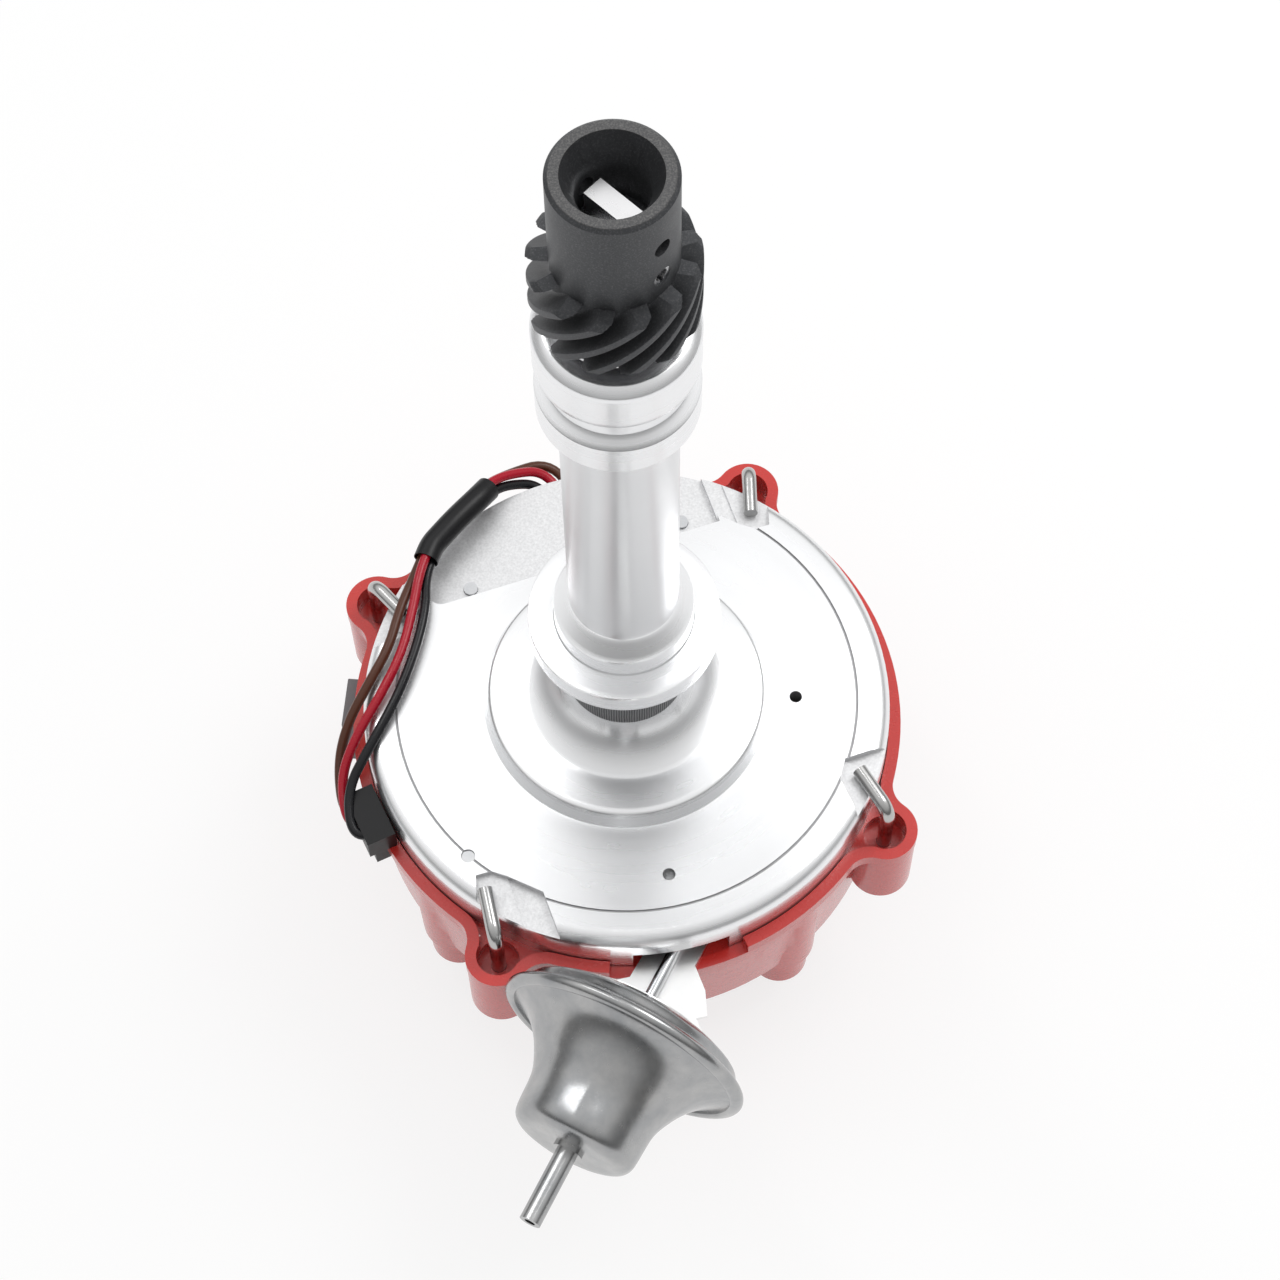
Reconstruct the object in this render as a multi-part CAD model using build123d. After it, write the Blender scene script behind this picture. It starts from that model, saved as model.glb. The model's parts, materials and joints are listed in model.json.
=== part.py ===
"""Large-cap electronic ignition distributor, standing on its coil cover with the drive gear up.

Millimetres. The origin is the centre of the mounting collar's seating face on the shaft axis,
+Z runs along the shaft towards the drive gear, and -Z runs down through the bowl to the cap.
"""

import os
from math import acos, cos, pi, radians, sin, sqrt, tan

from build123d import *

# Fits and clearances
running = 0.05            # radial clearance of a turning pin or shaft
stand_off = 0.3           # gap beside a curved face that must not touch
slip = 0.1                # gap under a part that slides or swings on a flat face

# Shaft and gear
shaft_r = 6.35
hub_end_z = 197.0         # open end of the gear's hub
hub_r = 13.9
hub_chamfer = 0.9
hub_mouth_r = 10.8
hub_bore_r = 8.0
hub_mouth_depth = 6.0
hub_bore_depth = 19.0
tang_length = 11.8
tang_width = 5.0
tang_depth = 10.0         # tang's free end, measured down from the hub's end
pin_angle = -45.0         # direction of the tang, the roll pin and the cross hole
roll_pin_r = 2.4
roll_pin_drop = 22.8
cross_hole_r = 2.2
cross_hole_drop = 12.3
gear_teeth = 13
gear_top_z = 168.0
gear_width = 19.5
gear_pitch_r = 16.6
gear_tip_r = 18.7
gear_root_r = 13.4
gear_pressure_deg = 27.2
gear_twist_deg = 68.0
gear_tip_chamfer = 1.3
gear_boss_r = 12.6
gear_boss_height = 1.6
shim_thickness = 0.8
thrust_thickness = 2.0
washer_r = 12.2

# Housing stem
nose_z = 141.5
nose_r = 15.5
band_r = 18.8
upper_band = (127.8, 139.6)
lower_band = (108.3, 117.4)
oil_groove_r = 16.6
oil_groove_floor = (121.0, 127.0)
barrel_r = 14.0
pilot_r = 17.9
pilot_height = 9.2
pilot_cone = 3.2
collar_r = 24.6
collar_thickness = 7.2
collar_edge = 0.5
neck_r = 16.0
neck_end_z = -33.0
flare_end = (36.3, -45.8)
boss_foot_r = 38.6
bearing_bore_r = 8.0
lower_bushing_length = 26.0
upper_bushing_length = 24.0
felt_length = 30.0

# Bowl
face_z = -51.0
floor_thickness = 7.0
bowl_r = 71.3
bowl_inner_r = bowl_r - 5.1
bowl_depth = 17.0
rim_round = 4.2
turned_groove = (bowl_r - 9.4, bowl_r - 8.7)
turned_groove_depth = 0.5
hub_boss_r = 11.0
hub_boss_height = 8.6
vent_hole_r = 1.7
vent_holes = ((bowl_r - 25.6, -2.2), (bowl_r - 18.3, -79.2))        # radius, angle
ground_hole = (bowl_r - 8.9, -133.4)
ground_hole_r = 1.9
land_depth = 4.5
land_corner = 4.0
land_screws = ((bowl_r - 16.2, 139.9), (bowl_r - 14.3, 73.1))

# Ears and latches
ear_count = 4
ear_start_deg = 62.4
ear_stand_off = 6.1       # ear centres beyond the bowl's wall
ear_centre_r = bowl_r + ear_stand_off
ear_r = 8.7
ear_blend_r = 7.0
lip_width = 3.0
latch_rod_r = 2.0
latch_reach = 14.0
latch_bend_r = 4.0
latch_pad_depth = 2.0
latch_strip_depth = 2.6
latch_turns = (27.5, -21.5, 38.5, -32.5)          # each hook's set from the inward radius
latch_head_r = 4.4
latch_head_height = 2.4

# Cap
flange_r = bowl_r + 3.5
flange_top_z = -63.6
flange_thickness = 4.4
wall_step = 1.3           # how far the wall stands in from the flange's edge
pocket_depth = 8.0
cap_wall = 3.6
cap_foot_r = flange_r - 3.8
ear_column_z = -91.0
deck_z = -108.5
deck_thickness = 4.0
tower_count = 8
tower_circle_r = flange_r - 10.8
tower_r = 8.0
tower_lobe_r = 10.4
tower_end_z = -122.5
tower_cup_r = 5.6
tower_cup_depth = 12.0
terminal_r = 3.2
terminal_inner_r = tower_circle_r - 12.6
terminal_blade = (4.0, 6.0)                       # width, height of the inner electrode
cover_bottom_z = -134.0
cover_size = (88.0, 78.0)
cover_corner = 16.0
cover_wall = 2.6
cover_screw_xy = (35.0, 30.0)
cover_screw_r = 2.1
cover_head_r = 3.9

# Coil
core_size = (56.0, 46.0)
core_height = 12.0
core_limb = 9.0
coil_gap = 3.5            # height of the deck's posts under the core
coil_post_r = 4.2
winding_margin = 0.4
winding_rise = 3.0
seal_r = 12.0
coil_screw_xy = (23.4, 18.5)

# Module and capacitor
module_screw_r = 1.9
module_height = 6.5
capacitor_r = 5.8
capacitor_length = 17.0

# Rotor and advance
star_teeth = 8
star_r = 21.0
star_root_r = 15.5
star_tooth = 3.2
star_gap = 0.35
timer_tube_r = 9.6
pole_outer_r = 37.6
pole_ring_inner_r = 26.0
base_plate_top_z = -76.2
base_plate_thickness = 1.8
weight_pin_r = 2.0
weight_pin_circle_r = 27.0
weight_thickness = 3.0
weight_eye_r = 5.2
weight_band = (13.5, 21.0)
cam_size = (11.0, 8.2)
cam_post_at = 9.2
rotor_r = 38.0
rotor_top_z = -86.0
rotor_thickness = 4.0
blade_reach = terminal_inner_r - 1.0
blade_thickness = 1.0
rotor_post_at = 33.0
rotor_post_r = 4.6
button_r = 3.0

# Vacuum advance
canister_deg = -118.4
canister_offset = 42.2
canister_z = -63.5
canister_rim_r = 34.7
canister_rim_at = bowl_r + 13.5
shell_depth = 8.0
canister_cup_r = 19.0
canister_length = 35.0
canister_wall = 1.0
nipple_r = 2.9
nipple_bore_r = 1.5
nipple_length = 19.5
rod_r = 1.6
rod_eye_r = 3.6
rod_eye_thickness = 2.4
rod_pin_r = 1.5
pull_travel = 4.5
rod_pin_play = 0.3        # the eye's slot, each way across the rod
bracket_thickness = 1.5
bracket_post_r = 4.0
bracket_screw_r = 1.6
bracket_screws_at = ((37.0, 8.0), (37.0, -8.0))   # along the rod, across it towards the shaft
notch_mid_deg = -79.6
notch_width = 26.0
lip_notch = (-95.0, -66.0)

# Leads
lead_r = 1.35
sleeve_r = 3.5
sleeve_wall = 0.3
bundle_r = 1.72                                   # lead centres from the bundle's centre
plug_deg = -156.0
plug_size = (8.0, 16.0, 8.0)                      # radial, tangential, along the shaft
plug_inner_r = bowl_r + 0.6
plug_foot_width = 12.0
grommet_deg = 104.0
grommet_width = 11.0
grommet_z = -60.1
block_deg = 173.4
block_size = (6.4, 14.4, 23.0)
block_inner_r = bowl_r + 0.7
block_drop = 29.0


def at(radius, angle, z=0.0):
    """Point at a radius and an angle in degrees about the shaft axis."""
    return Vector(radius * cos(radians(angle)), radius * sin(radians(angle)), z)


def turned(*points):
    """Solid of revolution about Z from a closed outline of (radius, z) points."""
    return revolve(make_face(Plane.XZ * Polyline(*points, close=True)), Axis.Z)


def disc(outer, inner, z_low, z_high):
    """Flat ring between two heights; inner may be zero."""
    solid = Pos(0, 0, z_low) * Cylinder(outer, z_high - z_low, align=seated)
    if inner > 0:
        solid -= Pos(0, 0, z_low) * Cylinder(inner, z_high - z_low, align=seated)
    return solid


def rod(start, end, radius):
    """Round bar from one point to another."""
    start, end = Vector(*start), Vector(*end)
    along = end - start
    return Plane(start, z_dir=along) * Cylinder(radius, along.length, align=seated)


def block(sketch, z_low, z_high):
    """A sketch drawn about the shaft axis, carried from one height to another."""
    return extrude(Pos(0, 0, z_low) * sketch, z_high - z_low)


def spring_tube(radius, wire_r, length):
    """Envelope of a coil spring standing on the XY plane."""
    return disc(radius + wire_r, radius - wire_r, 0, length)


seated = (Align.CENTER, Align.CENTER, Align.MIN)
floor_z = face_z - floor_thickness
bowl_edge_z = face_z - bowl_depth
ear_angles = [ear_start_deg + 360 / ear_count * k for k in range(ear_count)]
tower_angles = [ear_start_deg + 360 / tower_count * (k + 0.5) for k in range(tower_count)]


# ---- housing ----------------------------------------------------------------------------

def local_to_shaft(angle, points):
    """Turns (radial, tangential) points given beside an ear into points about the shaft."""
    turn = radians(angle)
    return [(r * cos(turn) - t * sin(turn), r * sin(turn) + t * cos(turn)) for r, t in points]


def stem_and_bowl():
    """Turned form of the whole housing, from the nose to the bowl's open edge."""
    flare_mid = (neck_r + 6.2, neck_end_z - 9.4)
    stem = Polyline(
        (bearing_bore_r, nose_z), (nose_r, nose_z), (band_r, upper_band[1]),
        (band_r, upper_band[0]), (oil_groove_r, oil_groove_floor[1]),
        (oil_groove_r, oil_groove_floor[0]), (band_r, lower_band[1]), (band_r, lower_band[0]),
        (barrel_r, lower_band[0] - 4), (barrel_r, pilot_height + pilot_cone),
        (pilot_r, pilot_height), (pilot_r, 0), (collar_r, 0), (collar_r, collar_edge - collar_thickness),
        (collar_r - collar_edge, -collar_thickness), (neck_r, -collar_thickness),
        (neck_r, neck_end_z))
    flare = ThreePointArc((neck_r, neck_end_z), flare_mid, flare_end)
    face = Polyline(
        flare_end, (boss_foot_r, face_z), (turned_groove[0], face_z),
        (turned_groove[0], face_z - turned_groove_depth),
        (turned_groove[1], face_z - turned_groove_depth), (turned_groove[1], face_z),
        (bowl_r - rim_round, face_z))
    lean = rim_round * (1 - sqrt(0.5))
    rim = ThreePointArc((bowl_r - rim_round, face_z), (bowl_r - lean, face_z - lean),
                        (bowl_r, face_z - rim_round))
    inside = Polyline(
        (bowl_r, face_z - rim_round), (bowl_r, bowl_edge_z), (bowl_inner_r, bowl_edge_z),
        (bowl_inner_r, floor_z - 2), (bowl_inner_r - 2, floor_z), (hub_boss_r, floor_z),
        (hub_boss_r, floor_z - hub_boss_height), (bearing_bore_r, floor_z - hub_boss_height),
        (bearing_bore_r, nose_z))
    outline = Curve() + [stem, flare, face, rim, inside]
    return revolve(make_face(Plane.XZ * outline), Axis.Z)


def as_cast_land():
    """Recess for the land across the back of the face, between the two back latches."""
    drawn = ((-0.718, 0.400), (0.3815, 0.7363), (0.2525, 1.15), (-0.8415, 1.15), (-1.066, 0.631), (-0.7924, 0.4769))
    corners = [(x * bowl_r, y * bowl_r) for x, y in drawn]
    near = corners[0]
    sketch = make_face(Polyline(*corners, close=True))
    sketch = fillet(sketch.vertices().sort_by_distance(near)[0], land_corner)
    return block(sketch, face_z - land_depth, face_z + 1)


def latch_recesses():
    """Hook pads under the four latches, outlined from the bowl's edge, two of each hand, half a turn apart."""
    wide = (
        [(-10.7, -5.0), (-10.1, -9.6), (-7.3, -12.6), (4.2, -6.6), (8.7, -4.0), (8.7, 12.0), (3.0, 8.7)],
        [(-10.7, -5.0), (-10.9, 5.4), (1.0, 17.9), (8.7, 24.0), (8.7, 12.0), (3.0, 8.7)])
    corner = (
        [(-10.5, 8.9), (-5.2, 9.2), (-0.3, 3.5), (8.7, -2.0), (8.7, -9.0), (2.1, -6.6), (-9.3, 3.0)],
        [(-10.5, 8.9), (-1.3, 18.2), (8.7, 27.0), (8.7, -2.0), (-0.3, 3.5), (-5.2, 9.2)])
    cuts = []
    for index, angle in enumerate(ear_angles):
        pad, strip = wide if index % 2 == 0 else corner
        for outline, depth in ((pad, latch_pad_depth), (strip, latch_strip_depth)):
            points = local_to_shaft(angle, [(bowl_r + out, aside) for out, aside in outline])
            sketch = make_face(Polyline(*points, close=True))
            cuts.append(block(sketch, face_z - depth, face_z + 1))
    return cuts


def canister_frame(z=canister_z):
    """Plane whose Z runs out along the canister's axis, with X level and Y up the shaft."""
    foot = at(canister_offset, canister_deg + 90, z)
    along = at(1, canister_deg)
    return Plane(foot, x_dir=along.cross(Vector(0, 0, 1)), z_dir=along)


def bowl_notches():
    """Openings in the bowl's wall for the vacuum bracket and rod, and for the lead grommet."""
    low = bowl_edge_z - 1
    inner = bowl_inner_r - 2
    vacuum = outward_box(notch_mid_deg, inner, notch_width, low, canister_z + 4, 10)
    grommet = outward_box(grommet_deg, inner, grommet_width, low, grommet_z + grommet_rise, 10)
    return vacuum, grommet


grommet_rise = 2.7


def make_grommet():
    """Rubber block that fills the notch in the bowl's wall; the leads pass through it."""
    low = bowl_edge_z + slip
    high = grommet_z + grommet_rise - slip
    inner = bowl_inner_r + 0.4
    body = outward_box(grommet_deg, inner, grommet_width - 2 * slip, low, high, bowl_r - inner - 0.6)
    return body



def bracket_posts():
    """Posts under the bowl's floor that carry the vacuum bracket."""
    posts = []
    for x, y in bracket_screw_places():
        posts.append(Pos(x, y, bracket_top_z) * Cylinder(
            bracket_post_r, floor_z + 1 - bracket_top_z, align=seated))
    return posts


def make_housing():
    body = stem_and_bowl() - as_cast_land()
    for cut in latch_recesses():
        body -= cut
    for cut in bowl_notches():
        body -= cut
    holes = [(r, a, vent_hole_r) for r, a in vent_holes] + [(*ground_hole, ground_hole_r)]
    holes += [(r, a, module_screw_r + slip) for r, a in land_screws]
    for r, a, hole_r in holes:
        body -= Pos(*at(r, a, floor_z - 1)) * Cylinder(hole_r, floor_thickness + 2, align=seated)
    for post in bracket_posts():
        body += post
    for x, y in bracket_screw_places():
        body -= Pos(x, y, bracket_top_z) * Cylinder(bracket_screw_r, floor_z - bracket_top_z, align=seated)
    return body


def make_bushing(z_low, z_high):
    return disc(bearing_bore_r, shaft_r + running, z_low, z_high)


# ---- shaft, gear and washers ------------------------------------------------------------

shaft_end_z = hub_end_z - tang_depth
shaft_shoulder_z = hub_end_z - hub_bore_depth
cam_top_z = base_plate_top_z - base_plate_thickness - slip
shaft_foot_z = cam_top_z - weight_thickness - 1.2
spring_pin_z = cam_top_z - weight_thickness - 3.8
cam_flat = 4.6


def make_mainshaft():
    shaft = disc(shaft_r, 0, cam_top_z, shaft_shoulder_z)
    tang = Pos(0, 0, shaft_shoulder_z) * Rot(0, 0, pin_angle)
    tang *= Box(tang_length, tang_width, shaft_end_z - shaft_shoulder_z, align=seated)
    key = block(key_section(), shaft_foot_z, cam_top_z)
    pin_hole = rod(at(-hub_r, pin_angle, hub_end_z - roll_pin_drop),
                   at(hub_r, pin_angle, hub_end_z - roll_pin_drop), roll_pin_r)
    return shaft + tang + key - pin_hole


def involute_offset(radius):
    """Angle in radians between an involute's start and its point at a radius."""
    lean = acos(gear_base_r / radius)
    return tan(lean) - lean


gear_base_r = gear_pitch_r * cos(radians(gear_pressure_deg))


def gear_section():
    """Transverse section of the gear: involute flanks on a round root."""
    half_pitch = pi / 2 / gear_teeth
    flank = []
    for step in range(4):
        radius = gear_base_r + (gear_tip_r - gear_base_r) * step / 3
        half = half_pitch + involute_offset(gear_pitch_r) - involute_offset(radius)
        flank.append((radius, half))
    section = Circle(gear_root_r)
    root_half = flank[0][1] + 0.05
    points = [(gear_root_r - 1, root_half)] + flank
    right = [(r * cos(a), r * sin(a)) for r, a in points]
    left = [(x, -y) for x, y in reversed(right)]
    tooth = make_face(Polyline(*right, *left, close=True))
    for index in range(gear_teeth):
        section += Rot(0, 0, 360 / gear_teeth * index) * tooth
    return section.face()


def make_drive_gear():
    low = gear_top_z - gear_width
    teeth = Solid.extrude_linear_with_rotation(
        gear_section(), (0, 0, 0), (0, 0, gear_width), gear_twist_deg)
    chamfered = turned(
        (0, low), (gear_tip_r - gear_tip_chamfer, low), (gear_tip_r + 0.01, low + gear_tip_chamfer),
        (gear_tip_r + 0.01, gear_top_z - gear_tip_chamfer),
        (gear_tip_r - gear_tip_chamfer, gear_top_z), (0, gear_top_z))
    gear = (Pos(0, 0, low) * teeth) & chamfered
    hub = turned(
        (0, gear_top_z - 1), (hub_r, gear_top_z - 1), (hub_r, hub_end_z - hub_chamfer),
        (hub_r - hub_chamfer, hub_end_z), (0, hub_end_z))
    boss = disc(gear_boss_r, 0, low - gear_boss_height, low)
    gear = gear + hub + boss
    gear -= disc(shaft_r, 0, low - gear_boss_height, shaft_shoulder_z)
    gear -= turned(
        (0, shaft_shoulder_z), (hub_bore_r, shaft_shoulder_z), (hub_bore_r, hub_end_z - hub_mouth_depth),
        (hub_mouth_r, hub_end_z), (0, hub_end_z))
    gear -= rod(at(-hub_r - 1, pin_angle, hub_end_z - roll_pin_drop),
                at(hub_r + 1, pin_angle, hub_end_z - roll_pin_drop), roll_pin_r)
    gear -= rod(at(-hub_r - 1, pin_angle, hub_end_z - cross_hole_drop),
                at(hub_r + 1, pin_angle, hub_end_z - cross_hole_drop), cross_hole_r)
    return gear


def make_gear_pin():
    """Slotted roll pin, slightly below the hub's surface at both ends."""
    length = 2 * (hub_r - 0.5)
    tube = Cylinder(roll_pin_r, length) - Cylinder(roll_pin_r - 0.8, length)
    tube -= Pos(roll_pin_r, 0, 0) * Box(2 * roll_pin_r, 0.8, length)
    return Pos(0, 0, hub_end_z - roll_pin_drop) * Rot(0, 0, pin_angle) * Rot(0, 90, 0) * tube


def gear_stack():
    """Heights of the two washers between the housing's nose and the gear."""
    gear_low = gear_top_z - gear_width - gear_boss_height
    return gear_low, gear_low - shim_thickness, gear_low - shim_thickness - thrust_thickness


def make_washers():
    gear_low, shim_low, thrust_low = gear_stack()
    shim = disc(washer_r + 2.4, shaft_r + running, shim_low, gear_low)
    thrust = disc(washer_r, shaft_r + running, thrust_low, shim_low)
    return shim, thrust


# ---- pickup -----------------------------------------------------------------------------

pickup_plate_z = floor_z - 0.6
pickup_plate_thickness = 1.6
pickup_pin_z = canister_z - 3.4
coil_top_z = floor_z - hub_boss_height - 0.4
star_top_z = -69.0
star_thickness = 3.2
pole_thickness = 2.2
pole_z = star_top_z - star_thickness


def make_pickup_plate():
    """Plate that turns on the hub boss, with an arm and pin for the vacuum rod."""
    plate = disc(pole_outer_r, hub_boss_r + running, pickup_plate_z - pickup_plate_thickness, pickup_plate_z)
    pin_at = at(canister_offset, canister_deg + 90)
    arm = make_face(Polyline(at(30, canister_deg + 72), at(canister_offset + 5, canister_deg + 84),
                             at(canister_offset + 5, canister_deg + 96), at(30, canister_deg + 108),
                             close=True))
    plate += block(arm, pickup_plate_z - pickup_plate_thickness, pickup_plate_z)
    plate += rod((pin_at.X, pin_at.Y, pickup_plate_z), (pin_at.X, pin_at.Y, pickup_pin_z), rod_pin_r)
    return plate


def make_pickup_rings():
    """Magnet and coil rings between the plate and the pole piece, and the plate's retainer."""
    top = pickup_plate_z - pickup_plate_thickness
    foot = pole_z + pole_thickness
    magnet = disc(pole_outer_r, pole_outer_r - 4, foot, top)
    coil = disc(pole_outer_r - 4.3, pole_outer_r - 13, foot + slip, top - slip)
    retainer = disc(hub_boss_r + 3, hub_boss_r, top - slip - 0.8, top - slip)
    return magnet, coil, retainer


def make_pole_piece():
    """Steel ring with inward teeth facing the star's."""
    ring = Circle(pole_outer_r) - Circle(pole_ring_inner_r)
    reach = pole_ring_inner_r - star_r
    for index in range(star_teeth):
        ring += Rot(0, 0, 360 / star_teeth * (index + 0.5)) * Pos(star_r + reach / 2 + 0.5, 0) * Rectangle(
            reach + 1, star_tooth)
    ring -= Circle(star_r + star_gap)
    return block(ring, pole_z, pole_z + pole_thickness)


# ---- timer core, weights and rotor ------------------------------------------------------

def make_timer_core():
    """Star, tube and weight base in one sintered piece, with the two weight pins."""
    low = base_plate_top_z - base_plate_thickness
    core = disc(timer_tube_r, 0, base_plate_top_z, coil_top_z - 0.2)
    star = Circle(star_root_r)
    for index in range(star_teeth):
        star += Rot(0, 0, 360 / star_teeth * index) * Pos(star_r - 4, 0) * Rectangle(10, star_tooth)
    star &= Circle(star_r)
    core += block(star, star_top_z - star_thickness, star_top_z)
    base = Circle(20.0) + Rectangle(2 * weight_pin_circle_r, 18.0) + Rectangle(10.0, 2 * rotor_post_at)
    for side in (-1, 1):
        base += Pos(side * weight_pin_circle_r, 0) * Circle(9.0)
        base += Pos(0, side * rotor_post_at) * Circle(rotor_post_r + 0.4)
    core += block(base, low, base_plate_top_z)
    for side in (-1, 1):
        core += Pos(side * weight_pin_circle_r, 0, spring_pin_z) * Cylinder(
            weight_pin_r, low - spring_pin_z, align=seated)
        core -= Pos(0, side * rotor_post_at, low - 1) * Cylinder(
            cover_screw_r, base_plate_thickness + 2, align=seated)
    return core - disc(shaft_r + running, 0, low - 1, coil_top_z)


def key_section():
    """The flats on the shaft's lower end, which turn the cam."""
    return Circle(shaft_r - 1.0) & Rectangle(2 * shaft_r, 2 * cam_flat)


def make_cam_plate():
    """Centre cam on the shaft's flats, between the two weights, with its spring posts."""
    cam = block(Ellipse(*cam_size) - key_section(), cam_top_z - weight_thickness, cam_top_z)
    for side in (-1, 1):
        cam += Pos(side * cam_post_at, 0, spring_pin_z) * Cylinder(
            0.9, cam_top_z - weight_thickness - spring_pin_z, align=seated)
    return cam


def make_cam_retainer():
    top = cam_top_z - weight_thickness - slip
    return block(Circle(cam_size[1] - 1.2) - key_section(), top - 0.8, top)


def make_weight(side):
    """Flyweight: an arc round the cam with its pivot eye on the base's pin."""
    inner, outer = weight_band
    band = (Circle(outer) - Circle(inner)) & (Pos(side * 6, side * -14) * Rectangle(36, 20))
    link = [(weight_pin_circle_r - weight_eye_r, 0), (weight_pin_circle_r + weight_eye_r, 0), (19, -11), (12, -8)]
    eye = Pos(side * weight_pin_circle_r, 0) * Circle(weight_eye_r)
    sketch = band + eye + make_face(Polyline(*[(side * x, side * y) for x, y in link], close=True))
    sketch -= Pos(side * weight_pin_circle_r, 0) * Circle(weight_pin_r + running)
    return block(sketch, cam_top_z - weight_thickness, cam_top_z)


def make_advance_spring(side):
    """Tension spring from a weight pin to the cam's post."""
    length = weight_pin_circle_r - weight_pin_r - cam_post_at - 1.6
    spring = Rot(0, 90, 0) * spring_tube(1.5, 0.3, length)
    return Rot(0, 0, 90 - 90 * side) * Pos(cam_post_at + 1.3, 0, spring_pin_z + 2) * spring


def make_rotor():
    """Moulded rotor: disc, hub tower, blade land and two screw posts."""
    low = rotor_top_z - rotor_thickness
    body = disc(rotor_r, 0, low, rotor_top_z)
    for side in (-1, 1):
        body += Pos(0, side * rotor_post_at, rotor_top_z) * Cylinder(
            rotor_post_r, base_plate_top_z - base_plate_thickness - rotor_top_z, align=seated)
        body -= Pos(0, side * rotor_post_at, low - 1) * Cylinder(
            cover_screw_r, base_plate_top_z - low + 2, align=seated)
    body += disc(13.0, 0, low - 3.0, low)
    body += Pos(rotor_r / 2, 0, low - 3.0) * Box(rotor_r, 12, 3.0, align=seated)
    return body


blade_z = rotor_top_z - rotor_thickness - 3.0


def make_rotor_blade():
    blade = Rectangle(blade_reach, 7.0, align=(Align.MIN, Align.CENTER)) + Circle(5.0)
    blade &= Circle(blade_reach)
    return block(blade, blade_z - blade_thickness, blade_z)


def make_rotor_contact():
    """Curved spring blade that presses up to the carbon button."""
    arc = ThreePointArc((-9, 0), (-3.5, -contact_rise * 0.8), (2.5, -contact_rise))
    blade = extrude(Plane.XZ * trace(arc, 0.5), 2.0, both=True)
    foot = Pos(-9, 0, 0) * Box(3.0, 4.0, 0.5)
    return Pos(0, 0, blade_z - blade_thickness - 0.3) * (blade + foot)


contact_rise = 2.4


def make_rotor_screws():
    low = rotor_top_z - rotor_thickness
    screws = []
    for side in (-1, 1):
        shank = Pos(0, side * rotor_post_at, low) * Cylinder(
            cover_screw_r - slip, base_plate_top_z - low, align=seated)
        head = Pos(0, side * rotor_post_at, low - 2.0) * Cylinder(cover_head_r, 2.0, align=seated)
        screws.append(shank + head)
    return Compound(children=screws)


# ---- cap --------------------------------------------------------------------------------

def cap_outline(inset):
    """Flange outline seen along the shaft: a circle with four blended ears, moved in by inset."""
    outline = Circle(flange_r)
    for angle in ear_angles:
        centre = at(ear_centre_r, angle)
        outline += Pos(centre.X, centre.Y) * Circle(ear_r)
    outline = fillet(outline.vertices().filter_by(hollow_corner), ear_blend_r)
    return offset(outline, -inset) if inset else outline


def hollow_corner(vertex):
    """True where an ear's circle meets the flange's circle."""
    here = Vector(vertex.X, vertex.Y)
    on_ear = any(abs((here - at(ear_centre_r, angle)).length - ear_r) < 0.01 for angle in ear_angles)
    return on_ear and abs(here.length - flange_r) < 0.01


def make_cap():
    flange_low = flange_top_z - flange_thickness
    flange = block(cap_outline(0), flange_low, flange_top_z)
    wall = turned(
        (0, flange_low + 1), (flange_r - wall_step, flange_low + 1), (flange_r - wall_step, flange_low - 4),
        (cap_foot_r, deck_z + 4), (cap_foot_r - 4, deck_z), (0, deck_z))
    cap = flange + wall
    for angle in ear_angles:
        cap += Pos(*at(ear_centre_r, angle, ear_column_z)) * Cylinder(
            ear_r - 0.2, flange_low + 1 - ear_column_z, align=seated)
    for angle in tower_angles:
        cap += Pos(*at(tower_circle_r, angle, deck_z)) * Cone(
            tower_lobe_r - 0.9, tower_lobe_r - 0.2, flange_low + 1 - deck_z, align=seated)
        cap += Pos(*at(tower_circle_r, angle, tower_end_z)) * Cylinder(
            tower_r, deck_z - tower_end_z, align=seated)
    cap -= block(cap_outline(lip_width + 0.2), bowl_edge_z, flange_top_z)
    cap -= turned(
        (0, flange_top_z), (bowl_inner_r - slip, flange_top_z), (bowl_inner_r - slip, bowl_edge_z - 2),
        (cap_inner_r, bowl_edge_z - 12), (cap_inner_r, deck_z + deck_thickness),
        (0, deck_z + deck_thickness))
    cap += disc(9.0, 0, deck_z, button_boss_z)
    cap -= disc(button_r + running, 0, deck_z - 1, button_boss_z)
    for angle in ear_angles:
        centre = at(ear_centre_r, angle)
        cap -= Pos(centre.X, centre.Y, flange_top_z - pocket_depth) * Cylinder(
            ear_r - lip_width, pocket_depth, align=seated)
        cap -= Pos(centre.X, centre.Y, ear_column_z - 1) * Cylinder(
            latch_rod_r + running, flange_top_z - ear_column_z, align=seated)
        cap -= Pos(centre.X, centre.Y, ear_column_z) * Cylinder(
            spring_seat_r, spring_pocket, align=seated)
    for angle in tower_angles:
        centre = at(tower_circle_r, angle)
        cap -= Pos(centre.X, centre.Y, tower_end_z) * Cylinder(tower_cup_r, tower_cup_depth, align=seated)
        cap -= Pos(centre.X, centre.Y, tower_end_z) * Cylinder(
            terminal_r, deck_z + deck_thickness - tower_end_z, align=seated)
    for x, y in corners_of(coil_screw_xy):
        cap += Pos(x, y, deck_z - coil_gap) * Cylinder(coil_post_r, coil_gap, align=seated)
        cap -= Pos(x, y, deck_z - coil_gap) * Cylinder(
            cover_screw_r, coil_gap + deck_thickness - 1, align=seated)
    for x, y in corners_of(cover_screw_xy):
        cap -= Pos(x, y, deck_z) * Cylinder(cover_screw_r, deck_thickness - 1, align=seated)
    for cut in (plug_notch(), terminal_block_seat(), bracket_notch()):
        cap -= cut
    return cap


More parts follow.
